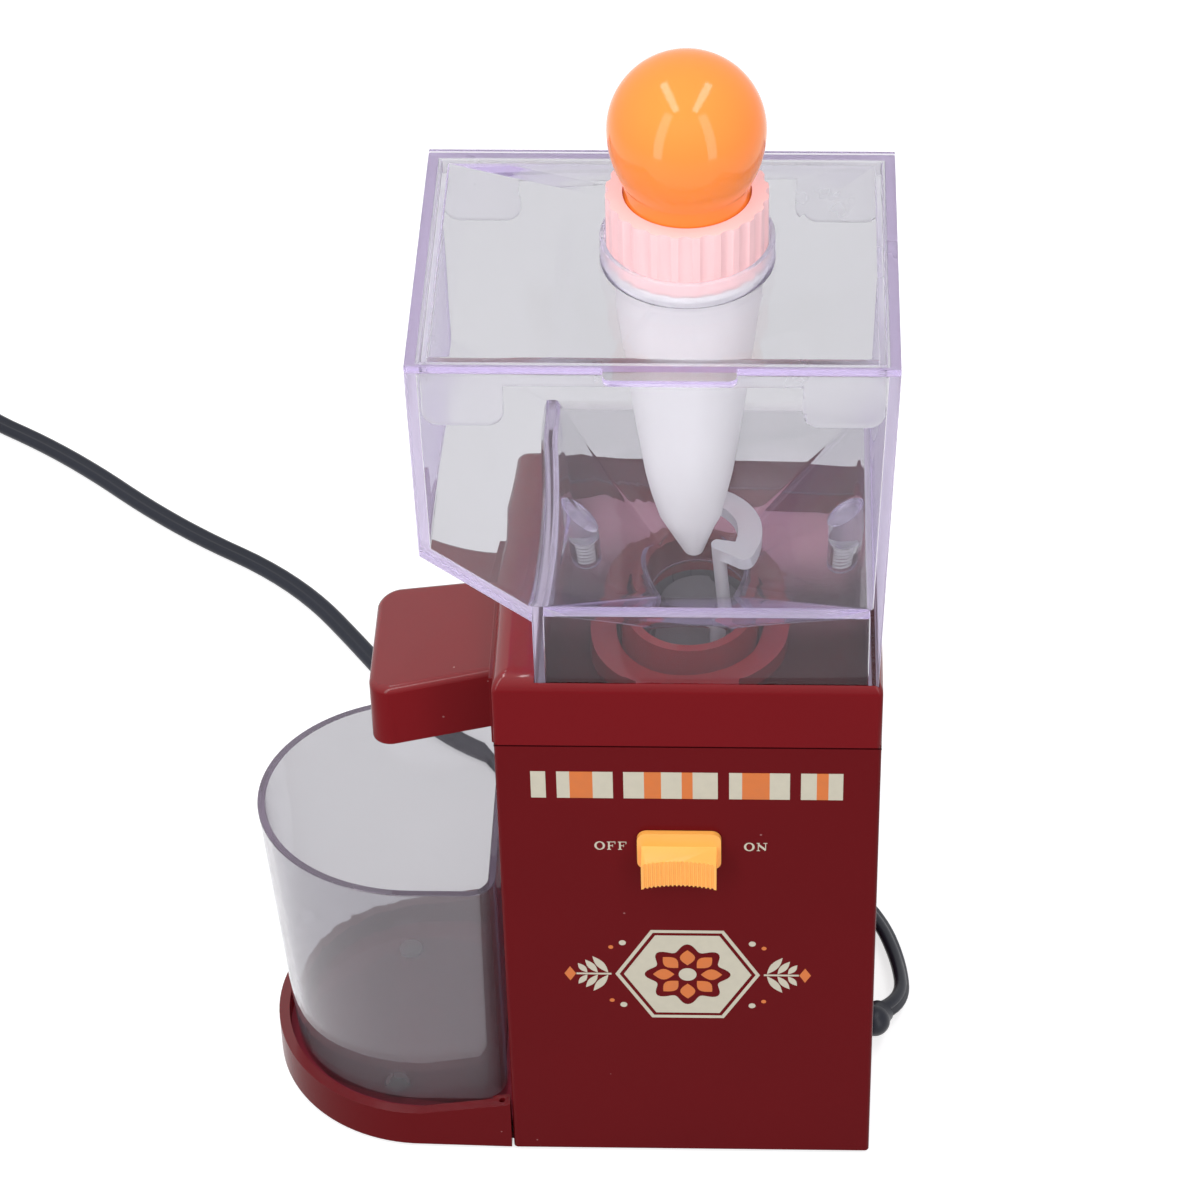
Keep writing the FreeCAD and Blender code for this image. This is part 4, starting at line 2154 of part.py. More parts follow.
def make_cord():
    radius = size.cord_width / 2
    exit_z = base_z + size.exit_height
    lying = float(radius)
    knuckle_x = right_x + size.knuckle_reach
    exit_point = FreeCAD.Vector(float(knuckle_x), float(size.exit_depth), float(exit_z))
    bulge = FreeCAD.Vector(float(right_x) + 12.0, float(size.exit_depth) + 21.0, 7.2)
    direction = (bulge - exit_point).normalize()
    nozzle = 4.5
    start = exit_point + direction * nozzle
    sleeve = fuse(
        "grommet_whole",
        post(
            "grommet_body",
            (right_x - wall - 1.2, size.exit_depth, exit_z),
            size.grommet_radius,
            wall + 1.2,
            "x",
        ),
        post(
            "grommet_inner_rim",
            (right_x - wall - 1.4, size.exit_depth, exit_z),
            size.grommet_radius + 0.4,
            1.3,
            "x",
        ),
        ball("grommet_swivel", (knuckle_x, size.exit_depth, exit_z), size.grommet_radius - 0.2),
        aimed(
            "grommet_nozzle",
            (knuckle_x + direction.x * 2, size.exit_depth + direction.y * 2, exit_z + direction.z * 2),
            radius + 0.6,
            nozzle - 2,
            direction,
        ),
    )
    node("cord_grommet", sleeve)
    inner_start = right_x - wall - 1.4
    node("inner_lead", post("lead_rod", (inner_start - 14, size.exit_depth, exit_z), radius - 0.4, 14, "x"))
    clamp = cut(
        "clamp_done",
        block(
            "clamp_block",
            (inner_start - 10, size.exit_depth - 6, base_z + size.base_thickness),
            (inner_start - 4, size.exit_depth + 6, exit_z + radius + 2),
        ),
        post(
            "clamp_hole",
            (inner_start - 11, size.exit_depth, exit_z),
            radius - 0.4 + size.running_gap,
            8,
            "x",
        ),
    )
    node("cord_clamp", clamp)
    route = [
        tuple(start),
        tuple(bulge),
        (58.5, 85.5, 4.0),
        (43.0, 107.0, lying),
        (14.0, 122.0, lying),
        (-20.0, 131.0, lying),
        (-55.0, 142.0, lying),
        (-81.0, 162.0, lying),
        (-100.0, 194.0, lying),
        (-127.0, 231.0, lying),
        (-168.0, 257.0, lying),
        (-207.0, 293.0, lying),
        (-250.0, 321.0, lying),
    ]
    node("cord", made("cord_tube", tube_along(route, radius)))
    coil_x, coil_y = coil_centre
    half_width, half_height = size.coil_turn_width / 2, size.coil_turn_height / 2
    middle_z = half_height + tie_thickness
    mean = size.coil_mean_radius
    coil = turned(
        "coil_profile",
        [
            (mean - half_width, middle_z - half_height / 2),
            (mean - half_width / 2, middle_z - half_height),
            (mean + half_width / 2, middle_z - half_height),
            (mean + half_width, middle_z - half_height / 2),
            (mean + half_width, middle_z + half_height / 2),
            (mean + half_width / 2, middle_z + half_height),
            (mean - half_width / 2, middle_z + half_height),
            (mean - half_width, middle_z + half_height / 2),
        ],
        (coil_x, coil_y, 0),
    )
    node("cord_coil", coil)
    band = cut(
        "tie_band",
        block(
            "tie_outer",
            (coil_x + mean - half_width - 0.7 - tie_thickness, coil_y - 5, 0),
            (
                coil_x + mean + half_width + tie_thickness,
                coil_y + 5,
                size.coil_turn_height + 2 * tie_thickness,
            ),
        ),
        block(
            "tie_inner",
            (coil_x + mean - half_width - 0.7, coil_y - 6, tie_thickness),
            (coil_x + mean + half_width, coil_y + 6, size.coil_turn_height + tie_thickness),
        ),
    )
    node("cord_tie", band)
    plug_x, plug_back = coil_x - mean - 4.0, coil_y - size.plug_offset
    plug_front = plug_back - size.plug_length
    plug_z = size.plug_thickness / 2
    tail = [
        (coil_x - mean, coil_y - 4.0, lying), (plug_x, coil_y - 42.0, plug_z), (plug_x, plug_back, plug_z)
    ]
    node("cord_tail", made("tail_tube", tube_along(tail, radius)))
    body = rounded(
        "plug_rounded",
        block(
            "plug_block",
            (plug_x - size.plug_width / 2, plug_front, 0),
            (plug_x + size.plug_width / 2, plug_back, size.plug_thickness),
        ),
        3.0,
        lambda edge: runs_along(edge, "z"),
    )
    pins = []
    sockets = []
    for side in (-1, 1):
        x = plug_x + side * size.plug_pin_pitch / 2
        reach = size.plug_pin_length + 6
        foot = (x, plug_front - size.plug_pin_length, plug_z)
        pins.append(post(f"plug_pin_{side}", foot, size.plug_pin_radius, reach, "y"))
        sockets.append(
            post(f"pin_socket_{side}", foot, size.plug_pin_radius + size.running_gap, reach, "y")
        )
    node("plug_body", cut("plug_done", body, *sockets))
    node("plug_pins", group("plug_pin_pair", *pins))


# --------------------------------------------------------------------------------------------
# Build, check and export
# --------------------------------------------------------------------------------------------
make_lower_housing()
make_upper_housing()
make_hopper()
make_lid()
make_dropper()
make_agitator()
make_burrs()
make_chamber()
make_spout()
make_gear_train()
make_gear_case()
make_screws()
make_motor()
make_switch()
make_board()
make_base()
make_cup()
make_cord()
document.recompute()

for item in document.Objects:
    if any(word in item.State for word in ("Invalid", "Error")):
        raise ValueError(f"{item.Label}: {item.State}")
os.makedirs("parts", exist_ok=True)
for target in nodes:
    shape = target.Shape
    if shape.isNull() or not shape.isValid() or not shape.Solids:
        raise ValueError(f"{target.Label}: the shape is not sound")
    shape.exportStep(f"parts/{target.Label}.step")
    box = shape.BoundBox
    print(
        f"{target.Label:18s} solids {len(shape.Solids)} volume {shape.Volume:10.1f}"
        f" x {box.XMin:7.1f} {box.XMax:7.1f} y {box.YMin:7.1f} {box.YMax:7.1f}"
        f" z {box.ZMin:7.1f} {box.ZMax:7.1f}"
    )
print(f"{len(nodes)} pieces")
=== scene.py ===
"""Looks of a nut butter grinder: moulded red housing, clear hopper and cup, oil dropper, flat lead."""
import functools
import json
import math

import bmesh
import bpy
from bpy.props import FloatProperty, FloatVectorProperty, PointerProperty
from mathutils import Matrix, Vector

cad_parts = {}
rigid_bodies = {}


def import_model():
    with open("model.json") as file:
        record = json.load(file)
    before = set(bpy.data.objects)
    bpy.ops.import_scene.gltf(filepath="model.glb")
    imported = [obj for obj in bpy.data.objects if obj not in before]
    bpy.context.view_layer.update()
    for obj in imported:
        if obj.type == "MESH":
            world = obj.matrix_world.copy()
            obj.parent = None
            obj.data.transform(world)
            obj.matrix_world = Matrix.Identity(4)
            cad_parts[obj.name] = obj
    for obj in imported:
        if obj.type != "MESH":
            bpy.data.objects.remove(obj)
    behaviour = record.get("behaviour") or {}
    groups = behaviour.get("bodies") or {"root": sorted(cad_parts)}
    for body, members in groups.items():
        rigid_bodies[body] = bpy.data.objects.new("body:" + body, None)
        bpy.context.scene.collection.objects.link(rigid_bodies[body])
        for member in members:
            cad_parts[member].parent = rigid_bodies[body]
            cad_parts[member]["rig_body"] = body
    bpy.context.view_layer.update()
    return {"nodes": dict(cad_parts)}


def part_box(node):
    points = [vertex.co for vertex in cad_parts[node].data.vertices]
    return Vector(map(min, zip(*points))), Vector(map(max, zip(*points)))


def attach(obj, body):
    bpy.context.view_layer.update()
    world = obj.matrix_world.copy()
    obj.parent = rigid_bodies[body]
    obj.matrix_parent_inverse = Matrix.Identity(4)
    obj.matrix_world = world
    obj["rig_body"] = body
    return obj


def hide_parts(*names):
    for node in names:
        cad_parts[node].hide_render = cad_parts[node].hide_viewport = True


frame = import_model()

bl_info = {
    "name": "Nut butter grinder",
    "version": (1, 0, 0),
    "blender": (4, 5, 0),
    "location": "View3D > Sidebar > Grinder",
    "description": "Dresses the nut butter grinder and sets its stage",
    "category": "Add Mesh",
}

node_body = {node: source["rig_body"] for node, source in frame["nodes"].items()}
finishes = {}

# The part's source measures from the middle of the housing's front foot. Lengths here are metres.
MILLIMETRE = 0.001
source_start = Vector((0.03235, -0.0392, 0.0))
housing_low, housing_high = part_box("lower_housing")
cone_low, cone_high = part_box("dropper_cone")
axis = Vector((source_start.x, (cone_low.y + cone_high.y) / 2, 0))

# degrees between faces up to which a piece is smooth, and up to which the CAD's facets are one face
SMOOTH_ANGLE = 35.0
FLAT_ANGLE = 0.5
WELD = 2e-6
AXIS_WELD = 1e-6


# --------------------------------------------------------------------------------------------
# Sizes and colours that a user would change
# --------------------------------------------------------------------------------------------
def colour_property(name, description, default):
    """A colour that a user may change."""
    return FloatVectorProperty(
        name=name, description=description, default=default, subtype="COLOR", min=0, max=1
    )


def length_property(name, description, default):
    """A length that a user may change."""
    return FloatProperty(name=name, description=description, default=default, unit="LENGTH", min=0)


class GrinderColours(bpy.types.PropertyGroup):
    """Colours of the grinder's plastics and prints."""

    housing: colour_property("Housing", "Moulded red of housing, tray and spout", (0.128, 0.0056, 0.008))
    orange: colour_property("Orange", "Thumb slider", (0.98, 0.44, 0.088))
    bulb: colour_property("Bulb", "Soft squeeze bulb", (0.9, 0.225, 0.036))
    ring: colour_property("Screw ring", "Fluted ring of the dropper", (0.95, 0.6, 0.61))
    cone: colour_property("Cone", "Translucent oil cone", (0.95, 0.94, 0.965))
    clear: colour_property("Clear plastic", "Hopper and lid", (0.735, 0.732, 0.75))
    cup: colour_property("Cup", "Clear plastic of the cup", (0.553, 0.545, 0.572))
    clear_edge: colour_property("Clear edges", "Tone deep inside the hopper's walls", (0.325, 0.295, 0.37))
    cup_edge: colour_property("Cup edges", "Tone deep inside the cup's wall", (0.12, 0.09, 0.13))
    # painted light: the tray's floor is a paler red than the housing, for the light it gets inside the cup
    tray: colour_property("Tray floor", "Floor of the tray, seen through the cup", (0.2, 0.022, 0.036))
    # painted light: the back of the deck is given a pale pink for the light the clear walls throw on it
    deck: colour_property("Deck", "Back of the deck, seen through the hopper", (0.5, 0.24, 0.31))
    print_cream: colour_property("Cream print", "Stripes, words and ornament", (0.54, 0.5, 0.395))
    print_orange: colour_property("Orange print", "Stripes and ornament", (0.6, 0.145, 0.018))
    lead: colour_property("Lead", "Vinyl of the mains lead", (0.0135, 0.0155, 0.025))


class GrinderSizes(bpy.types.PropertyGroup):
    """Fine sizes of the dressing."""

    moulded_edge: length_property("Moulded edge", "Rounding of the red parts' edges", 0.0004)
    clear_edge: length_property("Clear edge", "Rounding of the clear parts' edges", 0.00035)
    fine_edge: length_property("Fine edge", "Rounding of small parts' edges", 0.00015)
    hook_edge: length_property("Hook edge", "Rounding of the agitator's edges", 0.0005)
    tie_edge: length_property("Tie edge", "Rounding of the lead's tie", 0.0002)
    print_thickness: length_property("Print", "Thickness of the printed ink", 0.00004)
    letter_height: length_property("Letters", "Height of the switch's words", 0.0028)
    letter_gap: length_property("Letter gap", "Room between two letters", 0.0005)
    seam_gap: length_property("Seam gap", "Half height of the shadow line between the housings", 0.00022)
    bulb_wall: length_property("Bulb wall", "Thickness of the squeeze bulb", 0.0016)
    thread_pitch: length_property("Pillar thread", "Rise of the pillars' thread in a turn", 0.00115)
    lead_width: length_property("Lead width", "Flat lead, across", 0.006)
    lead_thickness: length_property("Lead thickness", "Flat lead, through", 0.0036)
    coil_radius: length_property("Coil radius", "Middle of the coil's turns", 0.033)


# --------------------------------------------------------------------------------------------
# Shader nodes
# --------------------------------------------------------------------------------------------
def feed(tree, socket, value):
    """Link an input to a socket or to a node's first output, or else set its value."""
    if isinstance(value, bpy.types.Node):
        value = value.outputs[0]
    if isinstance(value, bpy.types.NodeSocket):
        tree.links.new(value, socket)
    else:
        socket.default_value = value


def add(tree, kind, *values, **named):
    """A new node. Small names are its settings, and values fill its inputs in order or by capital names."""
    item = tree.nodes.new(f"ShaderNode{kind}")
    for key, value in named.items():
        if key[0].islower():
            setattr(item, key, value)
    for socket, value in zip(item.inputs, values):
        feed(tree, socket, value)
    for key, value in named.items():
        if key[0].isupper():
            feed(tree, item.inputs[key.replace("_", " ")], value)
    return item


def add_group(tree, group, **values):
    """A shared node group with its own values."""
    item = tree.nodes.new("ShaderNodeGroup")
    item.node_tree = group
    for key, value in values.items():
        item.inputs[key].default_value = value
    return item


def tinted(tree, mask, first, second):
    """A colour that goes from the first, a colour or a socket, to the second by a mask."""
    return add(tree, "Mix", data_type="RGBA", Factor=mask, A=first, B=second).outputs["Result"]


def solid(colour):
    """A colour with full alpha."""
    return (*colour, 1)


def shade(colour, factor):
    """A darker or paler colour."""
    return tuple(min(1.0, part * factor) for part in colour)


def ending(tree, kind):
    """The node of a kind that a new material or world already has."""
    return next(item for item in tree.nodes if item.type == kind)


# --------------------------------------------------------------------------------------------
# Shared effects
# --------------------------------------------------------------------------------------------
def shared(build):
    """Build a node group on the first call and hand back the same one after that."""

    @functools.wraps(build)
    def get():
        name = build.__name__
        if name not in bpy.data.node_groups:
            build(bpy.data.node_groups.new(name, "ShaderNodeTree"))
        return bpy.data.node_groups[name]

    return get


def open_group(group, inputs, outputs):
    """Name a group's inputs, each with its default, and its outputs, and hand back their inner ends."""
    for label, value in inputs.items():
        socket = group.interface.new_socket(label, in_out="INPUT", socket_type="NodeSocketFloat")
        socket.default_value = value
    for label, kind in outputs.items():
        group.interface.new_socket(label, in_out="OUTPUT", socket_type=f"NodeSocket{kind}")
    return group.nodes.new("NodeGroupInput").outputs, group.nodes.new("NodeGroupOutput").inputs


@shared
def moulded_grain(group):
    """Fine unevenness of moulded plastic: a roughness that drifts and a faint orange-peel normal."""
    given, result = open_group(
        group,
        {"Scale": 60.0, "Smoothest": 0.2, "Roughest": 0.32, "Peel": 0.1},
        {"Roughness": "Float", "Normal": "Vector", "Drift": "Float"},
    )
    place = add(group, "TexCoord").outputs["Object"]
    drift = add(group, "TexNoise", Vector=place, Scale=given["Scale"], Detail=3.0)
    spread = add(
        group, "MapRange", Value=drift, From_Min=0.3, From_Max=0.7,
        To_Min=given["Smoothest"], To_Max=given["Roughest"],
    )
    fine = add(group, "TexNoise", Vector=place, Scale=900.0, Detail=2.0)
    bump = add(group, "Bump", Strength=given["Peel"], Distance=0.0002, Height=fine)
    feed(group, result["Roughness"], spread)
    feed(group, result["Normal"], bump)
    feed(group, result["Drift"], drift)


@shared
def fine_specks(group):
    """Scattered dust and scuffs, as a mask."""
    given, result = open_group(group, {"Scale": 90.0, "Size": 0.02}, {"Mask": "Float"})
    place = add(group, "TexCoord").outputs["Object"]
    cells = add(group, "TexVoronoi", Vector=place, Scale=given["Scale"], Randomness=1.0)
    feed(group, result["Mask"], add(group, "Math", cells, given["Size"], operation="LESS_THAN"))


@shared
def upper_gloss(group):
    """A coat that is fuller on faces that look up: a painted sheen, so that the tops mirror the overhead
    lamps more.
    """
    given, result = open_group(group, {"Least": 0.05, "Most": 1.0}, {"Gloss": "Float"})
    parts = add(group, "SeparateXYZ", add(group, "TexCoord").outputs["Normal"])
    spread = add(
        group, "MapRange", Value=parts.outputs["Z"], From_Min=0.15, From_Max=0.85,
        To_Min=given["Least"], To_Max=given["Most"],
    )
    feed(group, result["Gloss"], spread)


@shared
def back_fade(group):
    """A mask that rises from the front of the piece to its back."""
    given, result = open_group(group, {"Start": -0.02, "End": 0.02}, {"Fade": "Float"})
    parts = add(group, "SeparateXYZ", add(group, "TexCoord").outputs["Object"])
    spread = add(
        group, "MapRange", interpolation_type="SMOOTHSTEP",
        Value=parts.outputs["Y"], From_Min=given["Start"], From_Max=given["End"],
    )
    feed(group, result["Fade"], spread)


@shared
def turned_metal(group):
    """Fine turning lines round the vertical axis of a metal piece."""
    given, result = open_group(
        group, {"Scale": 40.0, "Strength": 0.2}, {"Roughness": "Float", "Normal": "Vector"}
    )
    place = add(group, "TexCoord").outputs["Object"]
    stretch = add(group, "Mapping", Vector=place, Scale=(1.0, 1.0, 40.0))
    lines = add(group, "TexNoise", Vector=stretch, Scale=given["Scale"], Detail=4.0)
    bump = add(group, "Bump", Strength=given["Strength"], Distance=0.0001, Height=lines)
    feed(group, result["Roughness"], add(group, "MapRange", Value=lines, To_Min=0.22, To_Max=0.42))
    feed(group, result["Normal"], bump)


# --------------------------------------------------------------------------------------------
# Finishes
# --------------------------------------------------------------------------------------------
def kept(make):
    """Make a finish on the first call with its name and hand back the same one after that."""

    @functools.wraps(make)
    def get(name, *values, **settings):
        if name not in finishes:
            finishes[name] = make(name, *values, **settings)
        return finishes[name]

    return get


def start_finish(name):
    """A new material, its node tree and its main shader."""
    finish = bpy.data.materials.new(name)
    finish.use_nodes = True
    return finish, finish.node_tree, ending(finish.node_tree, "BSDF_PRINCIPLED")


def set_sockets(tree, shader, **sockets):
    """Fill a node's inputs by name, with _ in place of each blank."""
    for key, value in sockets.items():
        feed(tree, shader.inputs[key.replace("_", " ")], value)


@kept
def plastic(name, colour, smoothest=0.2, roughest=0.32, scale=60.0, peel=0.08, vary=0.08, **sockets):
    """Moulded plastic whose tone and gloss drift a little."""
    finish, tree, shader = start_finish(name)
    grain = add_group(tree, moulded_grain(), Scale=scale, Smoothest=smoothest, Roughest=roughest, Peel=peel)
    pale, full = solid(shade(colour, 1 - vary)), solid(shade(colour, 1 + vary))
    set_sockets(
        tree, shader, Base_Color=tinted(tree, grain.outputs["Drift"], pale, full),
        Roughness=grain.outputs["Roughness"], Normal=grain.outputs["Normal"], **sockets,
    )
    return finish


@kept
def housing_red(name, colour):
    """Glossy dark red with faint dust, and a painted sheen of extra coat on faces that look up."""
    finish, tree, shader = start_finish(name)
    dust, drift = (0.3, 0.12, 0.12), 0.06
    grain = add_group(tree, moulded_grain(), Scale=25.0, Smoothest=0.17, Roughest=0.24, Peel=0.05)
    specks = add_group(tree, fine_specks(), Scale=90.0, Size=0.026)
    painted_sheen = add_group(tree, upper_gloss(), Least=0.0, Most=1.0)
    pale, full = solid(shade(colour, 1 - drift)), solid(shade(colour, 1 + drift))
    base = tinted(tree, grain.outputs["Drift"], pale, full)
    # painted sheen: the coat's weight is fuller on faces that look up
    set_sockets(
        tree, shader, Base_Color=tinted(tree, specks.outputs["Mask"], base, solid(dust)),
        Roughness=grain.outputs["Roughness"], Normal=grain.outputs["Normal"],
        Coat_Weight=painted_sheen.outputs["Gloss"], Coat_Roughness=0.12, Specular_IOR_Level=0.03,
    )
    return finish


@kept
def deck_red(name, front, back):
    """The deck under the hopper: painted shade at its front, paler to the back, painted light where the
    clear walls throw light on it.
    """
    finish, tree, shader = start_finish(name)
    fade = add_group(tree, back_fade(), Start=0.0, End=0.034)
    grain = add_group(tree, moulded_grain(), Scale=60.0, Smoothest=0.3, Roughest=0.4, Peel=0.08)
    set_sockets(
        tree, shader, Base_Color=tinted(tree, fade.outputs["Fade"], solid(front), solid(back)),
        Roughness=grain.outputs["Roughness"], Specular_IOR_Level=0.05,
    )
    return finish


@kept
def clear_plastic(name, colour, deep, roughest=0.012, ior=1.39, weight=1.0):
    """Clear polystyrene: lamp light passes it, and light caught inside its walls turns to the deep tone."""
    finish, tree, shader = start_finish(name)
    grain = add_group(tree, moulded_grain(), Scale=30.0, Smoothest=0.0, Roughest=roughest, Peel=0.01)
    set_sockets(
        tree, shader, Base_Color=solid(colour), Transmission_Weight=weight, IOR=ior,
        Specular_Tint=(0.965, 0.9, 1.0, 1), Roughness=grain.outputs["Roughness"],
    )
    path = add(tree, "LightPath")
    matt = add(tree, "BsdfDiffuse", Color=solid(deep))
    behind = add(tree, "BsdfTranslucent", Color=solid(deep))
    caught = add(tree, "AddShader", matt, behind)
    # light that runs far inside a wall, or bounces often in it, takes the deep tone
    far = add(tree, "MapRange", Value=path.outputs["Ray Length"], From_Min=0.004, From_Max=0.013)
    backfacing = add(tree, "NewGeometry").outputs["Backfacing"]
    far_inside = add(tree, "Math", far, backfacing, operation="MULTIPLY")
    bounced = add(tree, "Math", path.outputs["Glossy Depth"], 1.5, operation="GREATER_THAN")
    either = add(tree, "Math", far_inside, bounced, operation="MAXIMUM")
    wall = add(tree, "MixShader", either, shader, caught)
    through = add(tree, "BsdfTransparent", Color=(0.985, 0.98, 0.99, 1))
    blend = add(tree, "MixShader", path.outputs["Is Shadow Ray"], wall, through)
    feed(tree, ending(tree, "OUTPUT_MATERIAL").inputs["Surface"], blend)
    return finish


@kept
def metal(name, colour, scale=40.0, strength=0.15):
    """Turned metal with fine lines."""
    finish, tree, shader = start_finish(name)
    lines = add_group(tree, turned_metal(), Scale=scale, Strength=strength)
    set_sockets(
        tree, shader, Base_Color=solid(colour), Metallic=1.0,
        Roughness=lines.outputs["Roughness"], Normal=lines.outputs["Normal"],
    )
    return finish


# name: colour or the name of a user's colour, least and most roughness, grain, peel, drift, other sockets
plastics = {
    # painted light: a paler red for the tray's floor, seen through the cup
    "tray_red": ("tray", 0.3, 0.4, 60.0, 0.08, 0.08, {"Specular_IOR_Level": 0.1}),
    # painted shadow: the near-black red of the thin band in the seam
    "seam_dark": ((0.03, 0.002, 0.003), 0.5, 0.6, 60.0, 0.08, 0.08, {"Specular_IOR_Level": 0.0}),
    "foot_rubber": ((0.02, 0.02, 0.022), 0.55, 0.75, 120.0, 0.2, 0.2, {}),
    "print_cream": ("print_cream", 0.3, 0.45, 400.0, 0.05, 0.07, {}),
    "print_orange": ("print_orange", 0.3, 0.45, 400.0, 0.05, 0.07, {}),
    "frosted_clear": ((0.97, 0.965, 0.99), 0.25, 0.4, 60.0, 0.05, 0.02, {
        "Transmission_Weight": 0.9, "IOR": 1.15,
    }),
    "rim_edge": ((0.36, 0.3, 0.43), 0.25, 0.4, 60.0, 0.05, 0.03, {"Transmission_Weight": 0.4, "IOR": 1.3}),
    "thread_plastic": ("cone", 0.2, 0.35, 60.0, 0.05, 0.03, {}),
    # painted light: the bulb's emission is a glow that lifts its shaded side
    "bulb_orange": ("bulb", 0.06, 0.1, 40.0, 0.02, 0.04, {
        "Specular_IOR_Level": 0.3, "Emission_Color": (1.0, 0.33, 0.06, 1), "Emission_Strength": 0.12,
    }),
    "ring_cream": ("ring", 0.3, 0.42, 80.0, 0.08, 0.05, {}),
    "frosted_plastic": ("cone", 0.35, 0.5, 60.0, 0.05, 0.03, {"Transmission_Weight": 0.2}),
    "hook_white": ((0.9, 0.9, 0.94), 0.25, 0.35, 60.0, 0.05, 0.04, {"Transmission_Weight": 0.7}),
    "burr_ceramic": ((0.06, 0.058, 0.062), 0.45, 0.6, 200.0, 0.3, 0.08, {}),
    "seal_rubber": ((0.12, 0.02, 0.02), 0.5, 0.65, 100.0, 0.2, 0.2, {}),
    "gear_white": ((0.78, 0.77, 0.72), 0.35, 0.5, 150.0, 0.1, 0.05, {}),
    "case_black": ((0.03, 0.03, 0.034), 0.35, 0.5, 100.0, 0.2, 0.2, {}),
    "magnet_grey": ((0.12, 0.12, 0.13), 0.5, 0.65, 90.0, 0.3, 0.15, {}),
    "carbon": ((0.04, 0.04, 0.04), 0.5, 0.6, 200.0, 0.2, 0.2, {}),
    "slider_orange": ("orange", 0.28, 0.36, 80.0, 0.06, 0.05, {}),
    "board_green": ((0.03, 0.16, 0.06), 0.3, 0.45, 120.0, 0.1, 0.15, {}),
    "cord_black": ("lead", 0.3, 0.42, 80.0, 0.1, 0.2, {"Specular_IOR_Level": 0.3}),
    "plug_black": ((0.02, 0.021, 0.026), 0.35, 0.45, 100.0, 0.15, 0.15, {}),
}
# name: colour, scale and strength of the turning lines
metals = {
    "steel": ((0.6, 0.6, 0.62), 40.0, 0.15),
    "can_zinc": ((0.66, 0.67, 0.68), 25.0, 0.2),
    "bronze": ((0.7, 0.48, 0.22), 40.0, 0.15),
    "copper": ((0.8, 0.35, 0.18), 150.0, 0.6),
    "pin_brass": ((0.78, 0.62, 0.3), 40.0, 0.15),
}


def stock(name):
    """A finish from the tables."""
    if name in metals:
        return metal(name, *metals[name])
    colour, *values, sockets = plastics[name]
    if isinstance(colour, str):
        colour = getattr(bpy.context.scene.grinder_colours, colour)
    return plastic(name, colour, *values, **sockets)


# --------------------------------------------------------------------------------------------
# Making pieces
# --------------------------------------------------------------------------------------------
def finished(work, name, body, finish, angle=SMOOTH_ANGLE):
    """Turn a bmesh into a piece that rides on a body, smooth except at its sharp edges."""
    bmesh.ops.recalc_face_normals(work, faces=work.faces)
    mesh = bpy.data.meshes.new(name)
    work.to_mesh(mesh)
    work.free()
    for polygon in mesh.polygons:
        polygon.use_smooth = True
    mesh.set_sharp_from_angle(angle=math.radians(angle))
    mesh.materials.append(finish)
    piece = bpy.data.objects.new(name, mesh)
    bpy.context.scene.collection.objects.link(piece)
    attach(piece, body)
    return piece


def soften(piece, width):
    """Round a piece's sharp edges."""
    bevel = piece.modifiers.new("soft_edges", "BEVEL")
    bevel.width = width
    bevel.segments = 2
    bevel.limit_method = "ANGLE"
    bevel.angle_limit = math.radians(SMOOTH_ANGLE)
    bevel.harden_normals = True
    bevel.use_clamp_overlap = True


def dressed(node, finish, edge):
    """A merged copy of a CAD piece with soft edges and its finish, shown in its place."""
    work = bmesh.new()
    work.from_mesh(frame["nodes"][node].data)
    bmesh.ops.remove_doubles(work, verts=work.verts, dist=WELD)
    bmesh.ops.dissolve_limit(work, angle_limit=math.radians(FLAT_ANGLE), verts=work.verts, edges=work.edges)
    piece = finished(work, f"{node}_skin", node_body[node], finish)
    if edge:
        soften(piece, edge)
    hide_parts(node)
    return piece


def dress_all(plan, edge):
    """Dress each CAD piece of a plan in the stock finish that it names."""
    for node, finish in plan.items():
        dressed(node, stock(finish), edge)


def face_finish(piece, finish, chosen):
    """Give the faces whose middle is chosen a finish of their own."""
    piece.data.materials.append(finish)
    place = len(piece.data.materials) - 1
    for polygon in piece.data.polygons:
        if chosen(polygon.center):
            polygon.material_index = place


def lathe(profile, centre, name, body, finish, steps, angle):
    """A turned piece from (radius, height) corners that start and end on its axis."""
    work = bmesh.new()
    corners = [work.verts.new((centre.x + radius, centre.y, height)) for radius, height in profile]
    edges = [work.edges.new(pair) for pair in zip(corners, corners[1:])]
    bmesh.ops.spin(
        work, geom=corners + edges, cent=centre, axis=(0, 0, 1), angle=math.tau, steps=steps, use_merge=True
    )
    bmesh.ops.remove_doubles(work, verts=work.verts, dist=AXIS_WELD)
    return finished(work, name, body, finish, angle)


def plate(work, corners):
    """A flat print on the housing's front, from (x, z) corners."""
    face = work.faces.new([work.verts.new((x, housing_low.y, z)) for x, z in corners])
    grown = bmesh.ops.extrude_face_region(work, geom=[face])["geom"]
    outward = (0, -bpy.context.scene.grinder_sizes.print_thickness, 0)
    moved = [item for item in grown if isinstance(item, bmesh.types.BMVert)]
    bmesh.ops.translate(work, vec=outward, verts=moved)


def frame_plate(work, outer, inner):
    """A printed outline between two loops of the same number of corners."""
    count = len(outer)
    for index in range(count):
        follow = (index + 1) % count
        plate(work, [outer[index], outer[follow], inner[follow], inner[index]])


def box_corners(left, foot, right, top):
    """Corners of an upright rectangle."""
    return [(left, foot), (right, foot), (right, top), (left, top)]


def rounded_loop(centre, radii, count, wave=0.0, petals=0):
    """Corners of a closed loop: a regular polygon, an oval or, with petals, a wavy flower."""
    corners = []
    for index in range(count):
        angle = math.tau * index / count
        swell = 1 + wave * math.cos(petals * angle)
        corners.append((
            centre[0] + radii[0] * swell * math.cos(angle), centre[1] + radii[1] * swell * math.sin(angle)
        ))
    return corners


